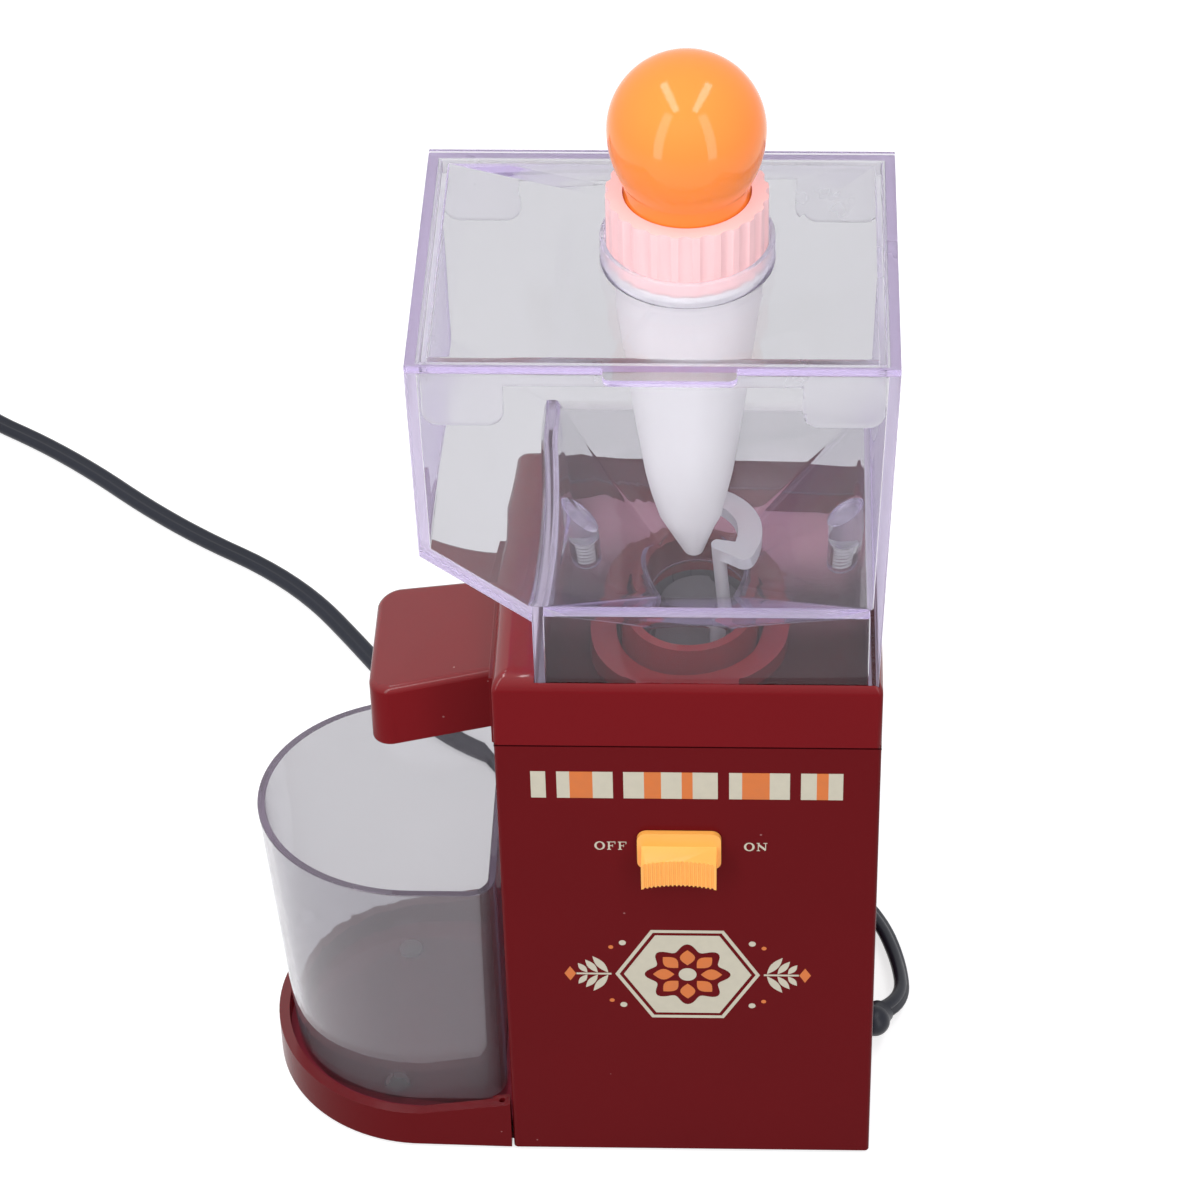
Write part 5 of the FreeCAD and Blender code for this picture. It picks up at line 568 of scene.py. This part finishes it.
def leaf(base, tip, width, count=8):
    """Corners of a pointed leaf between two points."""
    base, tip = Vector(base), Vector(tip)
    along = tip - base
    across = Vector((-along.y, along.x)).normalized() * width / 2
    steps = [(along * index / count, across * math.sin(math.pi * index / count)) for index in range(count)]
    one_side = [base + ahead + out for ahead, out in steps]
    other = [tip - ahead - out for ahead, out in steps]
    return [tuple(corner) for corner in one_side + other]


# --------------------------------------------------------------------------------------------
# The stage
# --------------------------------------------------------------------------------------------
stage_middle = (0.03, 0.0, 0.16)
# name: place, what it looks at, width, height, watts and whether shiny faces mirror it
lamps = {
    "left_window": ((-0.62, -0.84, 0.56), stage_middle, 0.26, 1.5, 4.8, True),
    "right_window": ((0.66, -0.86, 0.56), stage_middle, 0.26, 1.5, 4.4, True),
    "left_panel": ((-0.32, -0.1, 1.2), stage_middle, 0.9, 0.16, 3.6, True),
    "right_panel": ((0.38, -0.1, 1.2), stage_middle, 0.9, 0.16, 3.6, True),
    "left_side": ((-0.8, -0.05, 0.5), stage_middle, 0.5, 0.7, 1.6, False),
    "front_fill": ((0.03, -0.4, 0.6), (0.03, -0.04, 0.14), 0.4, 0.2, 0.7, False),
}


def area_lamp(name, place, target, wide, tall, watts, mirrored):
    """A soft rectangular lamp that looks at its target."""
    data = bpy.data.lights.new(name, "AREA")
    data.shape = "RECTANGLE"
    data.size = wide
    data.size_y = tall
    data.energy = watts
    lamp = bpy.data.objects.new(name, data)
    bpy.context.scene.collection.objects.link(lamp)
    lamp.location = place
    lamp.rotation_euler = (Vector(target) - Vector(place)).to_track_quat("-Z", "Y").to_euler()
    lamp.visible_glossy = mirrored


def background_rays(tree):
    """One where a camera, glossy or transmission ray looks, else nought."""
    path = add(tree, "LightPath").outputs
    direct = add(tree, "Math", path["Is Camera Ray"], path["Is Glossy Ray"], operation="MAXIMUM")
    return add(tree, "Math", direct, path["Is Transmission Ray"], operation="MAXIMUM")


def floor_finish():
    """Pale paper that reads white to the eye and still takes a soft shadow."""
    finish, tree, shader = start_finish("studio_paper")
    tree.nodes.remove(shader)
    matt = add(tree, "BsdfDiffuse", Color=(0.5, 0.5, 0.5, 1))
    strength = add(tree, "Math", background_rays(tree), 0.72, operation="MULTIPLY")
    glow = add(tree, "Emission", Strength=strength)
    feed(tree, ending(tree, "OUTPUT_MATERIAL").inputs["Surface"], add(tree, "AddShader", matt, glow))
    return finish


def make_world():
    """A surround that is white to the eye and lights the pieces more softly."""
    world = bpy.data.worlds.new("studio")
    world.use_nodes = True
    tree = world.node_tree
    soft = ending(tree, "BACKGROUND")
    set_sockets(tree, soft, Color=(0.93, 0.94, 1.0, 1), Strength=0.42)
    white = add(tree, "Background", Color=(1, 1, 1, 1), Strength=1.0)
    blend = add(tree, "MixShader", background_rays(tree), soft, white)
    feed(tree, ending(tree, "OUTPUT_WORLD").inputs["Surface"], blend)
    bpy.context.scene.world = world


class GRINDER_OT_stage(bpy.types.Operator):
    """Set the camera, the soft lamps, the floor and the white surround"""

    bl_idname = "grinder.stage"
    bl_label = "Set the stage"

    def execute(self, context):
        scene = context.scene
        scene.view_settings.view_transform = "Standard"
        camera = bpy.data.objects.new("camera", bpy.data.cameras.new("camera"))
        scene.collection.objects.link(camera)
        camera.data.sensor_width = 36.0
        camera.data.lens = 123.27
        camera.data.shift_x = -0.05977
        camera.data.shift_y = -0.0121
        place = (0.052204, -0.774480, 0.833806)
        right = Vector((0.999682, 0.023373, -0.009473))
        up = Vector((-0.008074, 0.652463, 0.757777))
        turn = Matrix((right, up, right.cross(up))).transposed()
        camera.matrix_world = Matrix.Translation(place) @ turn.to_4x4()
        scene.camera = camera

        half_floor = 4.0
        work = bmesh.new()
        bmesh.ops.create_grid(work, x_segments=1, y_segments=1, size=half_floor)
        mesh = bpy.data.meshes.new("floor")
        work.to_mesh(mesh)
        work.free()
        mesh.materials.append(floor_finish())
        floor = bpy.data.objects.new("floor", mesh)
        scene.collection.objects.link(floor)
        make_world()
        for name, settings in lamps.items():
            area_lamp(name, *settings)
        return {"FINISHED"}


# --------------------------------------------------------------------------------------------
# The mains lead
# --------------------------------------------------------------------------------------------
# from the grommet to the coil and from the coil to the plug, in the source's millimetres
lead_away = [
    (51.34, 44.04, 9.06), (57.5, 49.5, 6.8), (57.0, 66.5, 4.2), (51.5, 86.0, 3.2), (38.0, 104.0, 2.3),
    (12.0, 126.0, 2.0), (-20.0, 139.5, 1.9), (-54.0, 148.5, 1.9), (-81.0, 165.0, 1.9), (-100.0, 194.0, 1.9),
    (-127.0, 231.0, 1.9), (-168.0, 257.0, 1.9), (-207.0, 293.0, 1.9), (-244.0, 316.0, 2.2),
]
lead_tail = [(-321.5, 300.0, 6.5), (-322.0, 276.0, 7.0), (-322.0, 252.5, 7.0)]
# the flat lead stands on edge at the housing and lies down behind it, in degrees
lead_tilts = (90, 80, 62, 45, 15)
coil_middle = (-285.0, 331.0, 0.0)
# how far out, in metres, and how many layers up each turn lies
coil_plan = [(0.003, 0), (-0.0035, 0), (-0.0035, 1), (0.003, 1)]
COIL_START = 10.0
TURN_STEPS = 12
# three turns and the part turn that ends at the coil's left side
COIL_COUNT = 3 * TURN_STEPS + 7
EASE_SHARE = 0.2
COIL_LIFT = 0.0006
CAP_STEPS = 10
GROOVE_SHARE = 0.55


def source_point(place):
    """A point of the source, in millimetres, where it lies in the scene."""
    return source_start + Vector(place) * MILLIMETRE


def coil_points(centre, radius, thickness):
    """Points of a flat lead wound on itself: each turn keeps its column and eases into the next."""
    points = []
    for index in range(COIL_COUNT):
        turn, step = divmod(index, TURN_STEPS)
        part = step / TURN_STEPS
        reach, layer = coil_plan[turn]
        if turn + 1 < len(coil_plan) and part > 1 - EASE_SHARE:
            ease = (part - (1 - EASE_SHARE)) / EASE_SHARE
            next_reach, next_layer = coil_plan[turn + 1]
            reach += (next_reach - reach) * ease
            layer += (next_layer - layer) * ease
        angle = math.radians(COIL_START) + index * math.tau / TURN_STEPS
        points.append(Vector((
            centre.x + (radius + reach) * math.cos(angle),
            centre.y + (radius + reach) * math.sin(angle),
            thickness * (0.5 + layer) + COIL_LIFT,
        )))
    return points


def lead_outline(sizes):
    """The lead's section: two round ends, with a shallow groove between the cores on each side."""
    half_depth = sizes.lead_thickness / 2
    end_middle = sizes.lead_width / 2 - half_depth
    corners = []
    for side in (-1, 1):
        for index in range(CAP_STEPS + 1):
            angle = math.pi * (index / CAP_STEPS - 0.5 * side)
            x, y = half_depth * math.cos(angle), half_depth * math.sin(angle)
            corners.append((side * end_middle + x, y))
        corners.append((0.0, side * half_depth * GROOVE_SHARE))
    curve = bpy.data.curves.new("lead_outline", "CURVE")
    curve.dimensions = "2D"
    ring = curve.splines.new("POLY")
    ring.points.add(len(corners) - 1)
    for spot, (x, y) in zip(ring.points, corners):
        spot.co = (x, y, 0, 1)
    ring.use_cyclic_u = True
    outline = bpy.data.objects.new("lead_outline", curve)
    bpy.context.scene.collection.objects.link(outline)
    outline.hide_render = True
    return outline


class GRINDER_OT_lead(bpy.types.Operator):
    """Lay the flat lead from the grommet behind the housing, round its coil and on to the plug"""

    bl_idname = "grinder.lead"
    bl_label = "Lay the lead"

    def execute(self, context):
        sizes = context.scene.grinder_sizes
        path = [source_point(place) for place in lead_away]
        path += coil_points(source_point(coil_middle), sizes.coil_radius, sizes.lead_thickness)
        path += [source_point(place) for place in lead_tail]
        tilts = [math.radians(turn) for turn in lead_tilts] + [0.0] * (len(path) - len(lead_tilts))

        curve = bpy.data.curves.new("lead", "CURVE")
        curve.dimensions = "3D"
        curve.resolution_u = 8
        curve.twist_mode = "Z_UP"
        spline = curve.splines.new("NURBS")
        spline.points.add(len(path) - 1)
        for spot, place, tilt in zip(spline.points, path, tilts):
            spot.co = (*place, 1)
            spot.tilt = tilt
        spline.order_u = 3
        spline.use_endpoint_u = True
        curve.bevel_mode = "OBJECT"
        curve.bevel_object = lead_outline(sizes)
        curve.use_fill_caps = True
        curve.materials.append(stock("cord_black"))
        lead = bpy.data.objects.new("lead", curve)
        context.scene.collection.objects.link(lead)
        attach(lead, "housing")
        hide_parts("cord", "cord_coil", "cord_tail")
        return {"FINISHED"}


# --------------------------------------------------------------------------------------------
# Red body
# --------------------------------------------------------------------------------------------
# the upper housing and the spout get a paler red, painted light for the light they catch, and the deck's
# front a darker red, painted shade
UPPER_PAINTED_LIGHT = 1.32
DECK_PAINTED_SHADE = 0.22
DECK_ABOVE_SEAM = 0.0025
SEAM_PROUD = 0.00003


def seam_shadow(sizes):
    """Painted shadow in the gap where the upper housing sits on the lower one: four thin dark walls round
    the seam.
    """
    low, high = housing_low, housing_high
    wide, deep = high.x - low.x + 2 * SEAM_PROUD, high.y - low.y + 2 * SEAM_PROUD
    work = bmesh.new()
    made = bmesh.ops.create_cube(work, size=1.0)["verts"]
    bmesh.ops.scale(work, vec=(wide, deep, 2 * sizes.seam_gap), verts=made)
    bmesh.ops.translate(work, vec=((low.x + high.x) / 2, (low.y + high.y) / 2, high.z), verts=made)
    ends = [face for face in work.faces if abs(face.normal.z) > 0.5]
    bmesh.ops.delete(work, geom=ends, context="FACES_ONLY")
    finished(work, "seam_shadow", "housing", stock("seam_dark"))


class GRINDER_OT_housing(bpy.types.Operator):
    """Dress the red housing, its deck, tray and chamber"""

    bl_idname = "grinder.housing"
    bl_label = "Dress the housing"

    def execute(self, context):
        colours = context.scene.grinder_colours
        sizes = context.scene.grinder_sizes
        red = housing_red("housing_red", colours.housing)
        # painted light: a paler copy of the housing red for the upper housing and the spout
        bright = housing_red("upper_red", shade(colours.housing, UPPER_PAINTED_LIGHT))
        dressed("lower_housing", red, sizes.moulded_edge)
        tray = dressed("base_tray", red, sizes.moulded_edge)
        tray_floor, tray_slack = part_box("cup")[0].z, 0.0004
        # painted light: the tray's floor gets a paler red than the housing
        face_finish(tray, stock("tray_red"), lambda spot: abs(spot.z - tray_floor) < tray_slack)
        upper = dressed("upper_housing", bright, sizes.moulded_edge)
        deck, deck_slack = housing_high.z + DECK_ABOVE_SEAM, 0.0001
        # painted shade at the deck's front, fading to painted light at its back
        painted_shade_deck = deck_red("deck_red", shade(colours.housing, DECK_PAINTED_SHADE), colours.deck)
        face_finish(upper, painted_shade_deck, lambda spot: abs(spot.z - deck) < deck_slack)
        dressed("grinding_chamber", red, sizes.fine_edge)
        dressed("spout", bright, sizes.fine_edge)
        dressed("rubber_feet", stock("foot_rubber"), sizes.fine_edge)
        seam_shadow(sizes)
        return {"FINISHED"}


# --------------------------------------------------------------------------------------------
# Prints on the front
# --------------------------------------------------------------------------------------------
# left and right ends of the stripes, and their foot and top, in the source's millimetres
cream_spans = [
    (-38.8, -35.1), (-32.4, -29.2), (-23.5, -18.5), (-15.9, -10.8), (-6.6, -1.5), (1.2, 7.4), (10.2, 13.4),
    (20.2, 25.2), (27.9, 31.8), (34.7, 38.3),
]
orange_spans = [(-29.2, -23.5), (-10.8, -6.6), (-1.5, 1.2), (13.4, 20.2), (31.8, 34.7)]
STRIPE_FOOT = 130.9
STRIPE_TOP = 139.8
WORDS_FOOT = 113.1
word_lefts = {"OFF": -23.5, "ON": 13.9}
ornament_middle = (-0.5, 68.5)

# the shapes of each letter in a unit square; the O is an outline between two ovals
letter_widths = {"O": 0.95, "F": 0.8, "N": 0.95}
letter_shapes = {
    "O": [rounded_loop((0.5, 0.5), (0.5, 0.52), 28), rounded_loop((0.5, 0.5), (0.29, 0.41), 28)],
    "F": [box_corners(*bar) for bar in (
        (0.12, 0.08, 0.32, 0.92), (0.0, 0.0, 0.44, 0.08), (0.0, 0.92, 0.94, 1.0), (0.86, 0.7, 0.94, 0.92),
        (0.32, 0.46, 0.66, 0.551), (0.6, 0.34, 0.66, 0.46), (0.6, 0.551, 0.66, 0.66),
    )],
    "N": [box_corners(*bar) for bar in (
        (0.12, 0.08, 0.2, 0.92), (0.8, 0.08, 0.88, 0.92), (0.0, 0.0, 0.32, 0.08), (0.64, 0.92, 1.0, 1.0),
        (0.0, 0.92, 0.3, 1.0),
    )] + [[(0.2, 0.92), (0.2, 0.62), (0.8, 0.0), (0.8, 0.3)]],
}


def on_front(corners, middle=(0.0, 0.0)):
    """Corners about a middle, in the source's millimetres, where they lie on the front."""
    return [
        (source_start.x + (middle[0] + x) * MILLIMETRE, (middle[1] + z) * MILLIMETRE) for x, z in corners
    ]


def word_plates(work, word, sizes):
    """Letters with small serifs."""
    height = sizes.letter_height
    left, foot = on_front([(word_lefts[word], WORDS_FOOT)])[0]
    for letter in word:
        width = height * letter_widths[letter]
        shapes = [
            [(left + x * width, foot + z * height) for x, z in shape] for shape in letter_shapes[letter]
        ]
        if letter == "O":
            frame_plate(work, *shapes)
        else:
            for shape in shapes:
                plate(work, shape)
        left += width + sizes.letter_gap


def ornament_plates(cream, orange):
    """A flower in a six-sided plaque with a leafy branch and a lozenge at each side."""

    def moved(corners):
        return on_front(corners, ornament_middle)

    def oval(x, z, *radii, count):
        return moved(rounded_loop((x, z), (radii[0], radii[-1]), count))

    frame_plate(cream, oval(0, 0, 18.6, count=6), oval(0, 0, 17.5, count=6))
    petals, side_steps = 8, 16
    plaque = [Vector(corner) for corner in rounded_loop((0, 0), (16.4, 16.4), 6)]
    rim = [
        start.lerp(end, part / side_steps)
        for start, end in zip(plaque, plaque[1:] + plaque[:1]) for part in range(side_steps)
    ]
    frame_plate(cream, moved(rim), moved(rounded_loop((0, 0), (9.8, 9.8), len(rim), 0.13, petals)))
    for petal in range(petals):
        angle = math.tau * petal / petals
        way = Vector((math.cos(angle), math.sin(angle)))
        plate(orange, moved(leaf(way * 3.4, way * 8.9, 3.9)))
    plate(cream, oval(0, 0, 2.3, count=32))
    for side in (-1, 1):
        plate(cream, moved(box_corners(side * 19.6, -0.3, side * 28.6, 0.3)))
        for index in range(3):
            root = side * (20.4 + index * 2.7)
            length = 6.4 - index * 1.3
            for way in (-1, 1):
                tip = (root + side * length * 0.62, way * length)
                plate(cream, moved(leaf((root, way * 0.4), tip, 2.1 - index * 0.2)))
        plate(orange, oval(side * 30.2, 0, 1.5, 2.6, count=4))
        for way in (-1, 1):
            plate(cream, oval(side * 16.6, way * 11.4, 0.9, count=20))
            plate(orange, oval(side * 19.6, way * 9.8, 0.65, count=16))


class GRINDER_OT_prints(bpy.types.Operator):
    """Print the stripes, the switch's words and the ornament on the front"""

    bl_idname = "grinder.prints"
    bl_label = "Print the front"

    def execute(self, context):
        cream, orange = stock("print_cream"), stock("print_orange")
        stripes = (("cream_stripes", cream, cream_spans), ("orange_stripes", orange, orange_spans))
        for name, finish, spans in stripes:
            work = bmesh.new()
            for left, right in spans:
                plate(work, on_front(box_corners(left, STRIPE_FOOT, right, STRIPE_TOP)))
            finished(work, name, "housing", finish)
        work = bmesh.new()
        for word in word_lefts:
            word_plates(work, word, context.scene.grinder_sizes)
        finished(work, "switch_words", "housing", cream)
        pale, bright = bmesh.new(), bmesh.new()
        ornament_plates(pale, bright)
        finished(pale, "cream_ornament", "housing", cream)
        finished(bright, "orange_ornament", "housing", orange)
        return {"FINISHED"}


# --------------------------------------------------------------------------------------------
# Clear hopper, lid and cup
# --------------------------------------------------------------------------------------------
pillar_lefts = {"left": 0.00285, "right": 0.07135}
THREAD_FOOT = 0.1667
THREAD_TURNS = 6
THREAD_STEPS = 28
# radius and height of the thread's tooth
thread_tooth = [(0.0021, 0.0004), (0.00268, 0.0), (0.00268, 0.0008)]


class GRINDER_OT_clear_parts(bpy.types.Operator):
    """Dress the clear hopper, its lid and the collecting cup"""

    bl_idname = "grinder.clear_parts"
    bl_label = "Dress the clear parts"

    def execute(self, context):
        colours = context.scene.grinder_colours
        sizes = context.scene.grinder_sizes
        clear = clear_plastic("clear_plastic", colours.clear, colours.clear_edge)
        frosted = stock("frosted_clear")
        hopper = dressed("hopper", clear, sizes.clear_edge)
        lid = dressed("lid", clear, sizes.clear_edge)

        # the rim keeps a hair below the lid that lies on it, and its upper face has its own tone
        rim, slack, rim_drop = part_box("hopper")[1].z, 1e-5, 8e-5
        for vert in hopper.data.vertices:
            if vert.co.z > rim - slack:
                vert.co.z -= rim_drop
        face_finish(hopper, stock("rim_edge"), lambda spot: spot.z > rim - rim_drop - 2 * slack)

        # the lid's tabs and its ring for the dropper are frosted
        tab_top, plate_top, ring_reach = rim - 0.0003, rim + 0.0022, 0.024
        face_finish(lid, frosted, lambda spot: spot.z < tab_top)
        face_finish(
            lid, frosted, lambda spot: spot.z > plate_top and math.dist(spot.xy, axis.xy) < ring_reach
        )

        cup_clear = clear_plastic("cup_plastic", colours.cup, colours.cup_edge, 0.03, 1.42, 0.92)
        cup = dressed("cup", cup_clear, sizes.clear_edge)
        cup_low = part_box("cup")[0]
        floor, pip_height, pip_reach = cup_low.z + 0.00205, 0.001, 0.0034
        pips = [(cup_low.x + 0.0344, axis.y + side * 0.025) for side in (-1, 1)]
        face_finish(cup, frosted, lambda spot: floor < spot.z < floor + pip_height and any(
            math.dist(spot.xy, pip) < pip_reach for pip in pips
        ))
        return {"FINISHED"}


class GRINDER_OT_pillar_threads(bpy.types.Operator):
    """Cut a fine thread into the foot of each clear pillar under the hopper"""

    bl_idname = "grinder.pillar_threads"
    bl_label = "Thread the pillars"

    def execute(self, context):
        rise = context.scene.grinder_sizes.thread_pitch / THREAD_STEPS
        for side, x in pillar_lefts.items():
            work = bmesh.new()
            corners = [
                work.verts.new((x + reach, axis.y, THREAD_FOOT + height)) for reach, height in thread_tooth
            ]
            bmesh.ops.spin(
                work, geom=[work.faces.new(corners)], cent=(x, axis.y, 0), axis=(0, 0, 1),
                dvec=(0, 0, rise), angle=math.tau * THREAD_TURNS, steps=THREAD_STEPS * THREAD_TURNS,
                use_merge=False,
            )
            finished(work, f"pillar_thread_{side}", "housing", stock("thread_plastic"), angle=50)
        return {"FINISHED"}


# --------------------------------------------------------------------------------------------
# Oil dropper
# --------------------------------------------------------------------------------------------
BULB_NECK = 0.0147
BULB_FLANGE = 0.0158
FLANGE_HEIGHT = 0.0012
# the bulb's lower half is taller than its upper half, and its skin ends just above the crease
LOWER_SHARE = 1.23
CREASE_SLACK = 0.0002
BULB_STEPS = 48


def bulb_profile(low, high, wall):
    """Outer and inner (radius, height) corners of a bulb that is fuller below its middle."""
    wide = (high.x - low.x) / 2
    middle, tall = high.z - wide, wide * LOWER_SHARE
    crease = middle - tall * math.sqrt(1 - (BULB_NECK / wide) ** 2)
    step_up = low.z + FLANGE_HEIGHT

    def skin(inset):
        corners = []
        for index in range(BULB_STEPS + 1):
            turn = index / BULB_STEPS
            height = (wide if turn < 0.5 else tall) - inset
            corners.append((
                (wide - inset) * math.sin(math.pi * turn), middle + height * math.cos(math.pi * turn)
            ))
        return [corner for corner in corners if corner[1] > crease + CREASE_SLACK]

    outer = skin(0) + [(BULB_NECK, crease), (BULB_NECK, step_up)]
    outer += [(BULB_FLANGE, step_up), (BULB_FLANGE, low.z)]
    inner = skin(wall) + [(BULB_NECK - wall, crease), (BULB_NECK - wall, low.z)]
    return outer + inner[::-1]


class GRINDER_OT_dropper(bpy.types.Operator):
    """Dress the oil dropper: soft bulb, fluted ring and cone"""

    bl_idname = "grinder.dropper"
    bl_label = "Dress the dropper"

    def execute(self, context):
        sizes = context.scene.grinder_sizes
        profile = bulb_profile(*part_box("dropper_bulb"), sizes.bulb_wall)
        bulb = lathe(
            profile, axis, "bulb", node_body["dropper_bulb"], stock("bulb_orange"), 2 * BULB_STEPS, angle=40
        )
        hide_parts("dropper_bulb")
        dressed("dropper_ring", stock("ring_cream"), sizes.clear_edge)
        dressed("dropper_cone", stock("frosted_plastic"), sizes.fine_edge)
        return {"FINISHED"}


# --------------------------------------------------------------------------------------------
# Works and lead's ends
# --------------------------------------------------------------------------------------------
class GRINDER_OT_grinding_parts(bpy.types.Operator):
    """Dress the agitator, the burrs, the seal and the output shaft"""

    bl_idname = "grinder.grinding_parts"
    bl_label = "Dress the grinding parts"

    def execute(self, context):
        sizes = context.scene.grinder_sizes
        dressed("agitator", stock("hook_white"), sizes.hook_edge)
        dress_all({
            "burr_rotor": "burr_ceramic", "burr_ring": "burr_ceramic", "shaft_seal": "seal_rubber",
            "output_shaft": "steel",
        }, sizes.fine_edge)
        return {"FINISHED"}


class GRINDER_OT_drive(bpy.types.Operator):
    """Dress the gear train, its case and the motor"""

    bl_idname = "grinder.drive"
    bl_label = "Dress the drive"

    def execute(self, context):
        dress_all({
            "output_gear": "gear_white", "layshaft_gear": "gear_white", "layshaft_pin": "steel",
            "motor_pinion": "bronze", "shaft_bush": "bronze", "thrust_washer": "steel",
            "gearbox_base": "case_black", "gearbox_cover": "case_black", "motor_can": "can_zinc",
            "motor_end_cap": "case_black", "motor_magnets": "magnet_grey", "armature_core": "steel",
            "armature_coils": "copper", "commutator": "copper", "motor_shaft": "steel",
            "motor_brushes": "carbon", "motor_terminals": "pin_brass", "motor_damper": "foot_rubber",
            "drive_screws": "steel", "housing_screws": "steel", "base_screws": "steel",
            "motor_screws": "steel", "switch_screws": "steel",
        }, context.scene.grinder_sizes.fine_edge)
        return {"FINISHED"}


class GRINDER_OT_switch(bpy.types.Operator):
    """Dress the thumb slider, the switch and the board"""

    bl_idname = "grinder.switch"
    bl_label = "Dress the switch"

    def execute(self, context):
        dress_all({
            "switch_slider": "slider_orange", "switch_lever": "case_black", "switch_body": "case_black",
            "cord_clamp": "case_black",
        }, context.scene.grinder_sizes.fine_edge)
        dressed("rectifier_board", stock("board_green"), 0)
        return {"FINISHED"}


class GRINDER_OT_lead_ends(bpy.types.Operator):
    """Dress the grommet, the tie and the plug"""

    bl_idname = "grinder.lead_ends"
    bl_label = "Dress the lead's ends"

    def execute(self, context):
        sizes = context.scene.grinder_sizes
        dress_all({"cord_grommet": "cord_black", "inner_lead": "cord_black"}, sizes.fine_edge)
        dressed("cord_tie", stock("cord_black"), sizes.tie_edge)
        dressed("plug_body", stock("plug_black"), sizes.moulded_edge)
        dressed("plug_pins", stock("pin_brass"), sizes.fine_edge)
        return {"FINISHED"}


# --------------------------------------------------------------------------------------------
# Add-on
# --------------------------------------------------------------------------------------------
steps_in_order = (
    GRINDER_OT_stage,
    GRINDER_OT_lead,
    GRINDER_OT_housing,
    GRINDER_OT_prints,
    GRINDER_OT_clear_parts,
    GRINDER_OT_pillar_threads,
    GRINDER_OT_dropper,
    GRINDER_OT_grinding_parts,
    GRINDER_OT_drive,
    GRINDER_OT_switch,
    GRINDER_OT_lead_ends,
)


class GRINDER_PT_panel(bpy.types.Panel):
    """The grinder's sizes, colours and steps"""

    bl_label = "Grinder"
    bl_idname = "GRINDER_PT_panel"
    bl_space_type = "VIEW_3D"
    bl_region_type = "UI"
    bl_category = "Grinder"

    def draw(self, context):
        layout = self.layout
        for settings in (context.scene.grinder_sizes, context.scene.grinder_colours):
            column = layout.column()
            for name in settings.bl_rna.properties.keys():
                if name not in {"rna_type", "name"}:
                    column.prop(settings, name)
        for step in steps_in_order:
            layout.operator(step.bl_idname)


classes = (GrinderColours, GrinderSizes, *steps_in_order, GRINDER_PT_panel)


def register():
    for item in classes:
        bpy.utils.register_class(item)
    bpy.types.Scene.grinder_colours = PointerProperty(type=GrinderColours)
    bpy.types.Scene.grinder_sizes = PointerProperty(type=GrinderSizes)


def unregister():
    del bpy.types.Scene.grinder_sizes
    del bpy.types.Scene.grinder_colours
    for item in reversed(classes):
        bpy.utils.unregister_class(item)


def main():
    register()
    for step in steps_in_order:
        area, name = step.bl_idname.split(".")
        getattr(getattr(bpy.ops, area), name)()


if __name__ == "__main__":
    main()
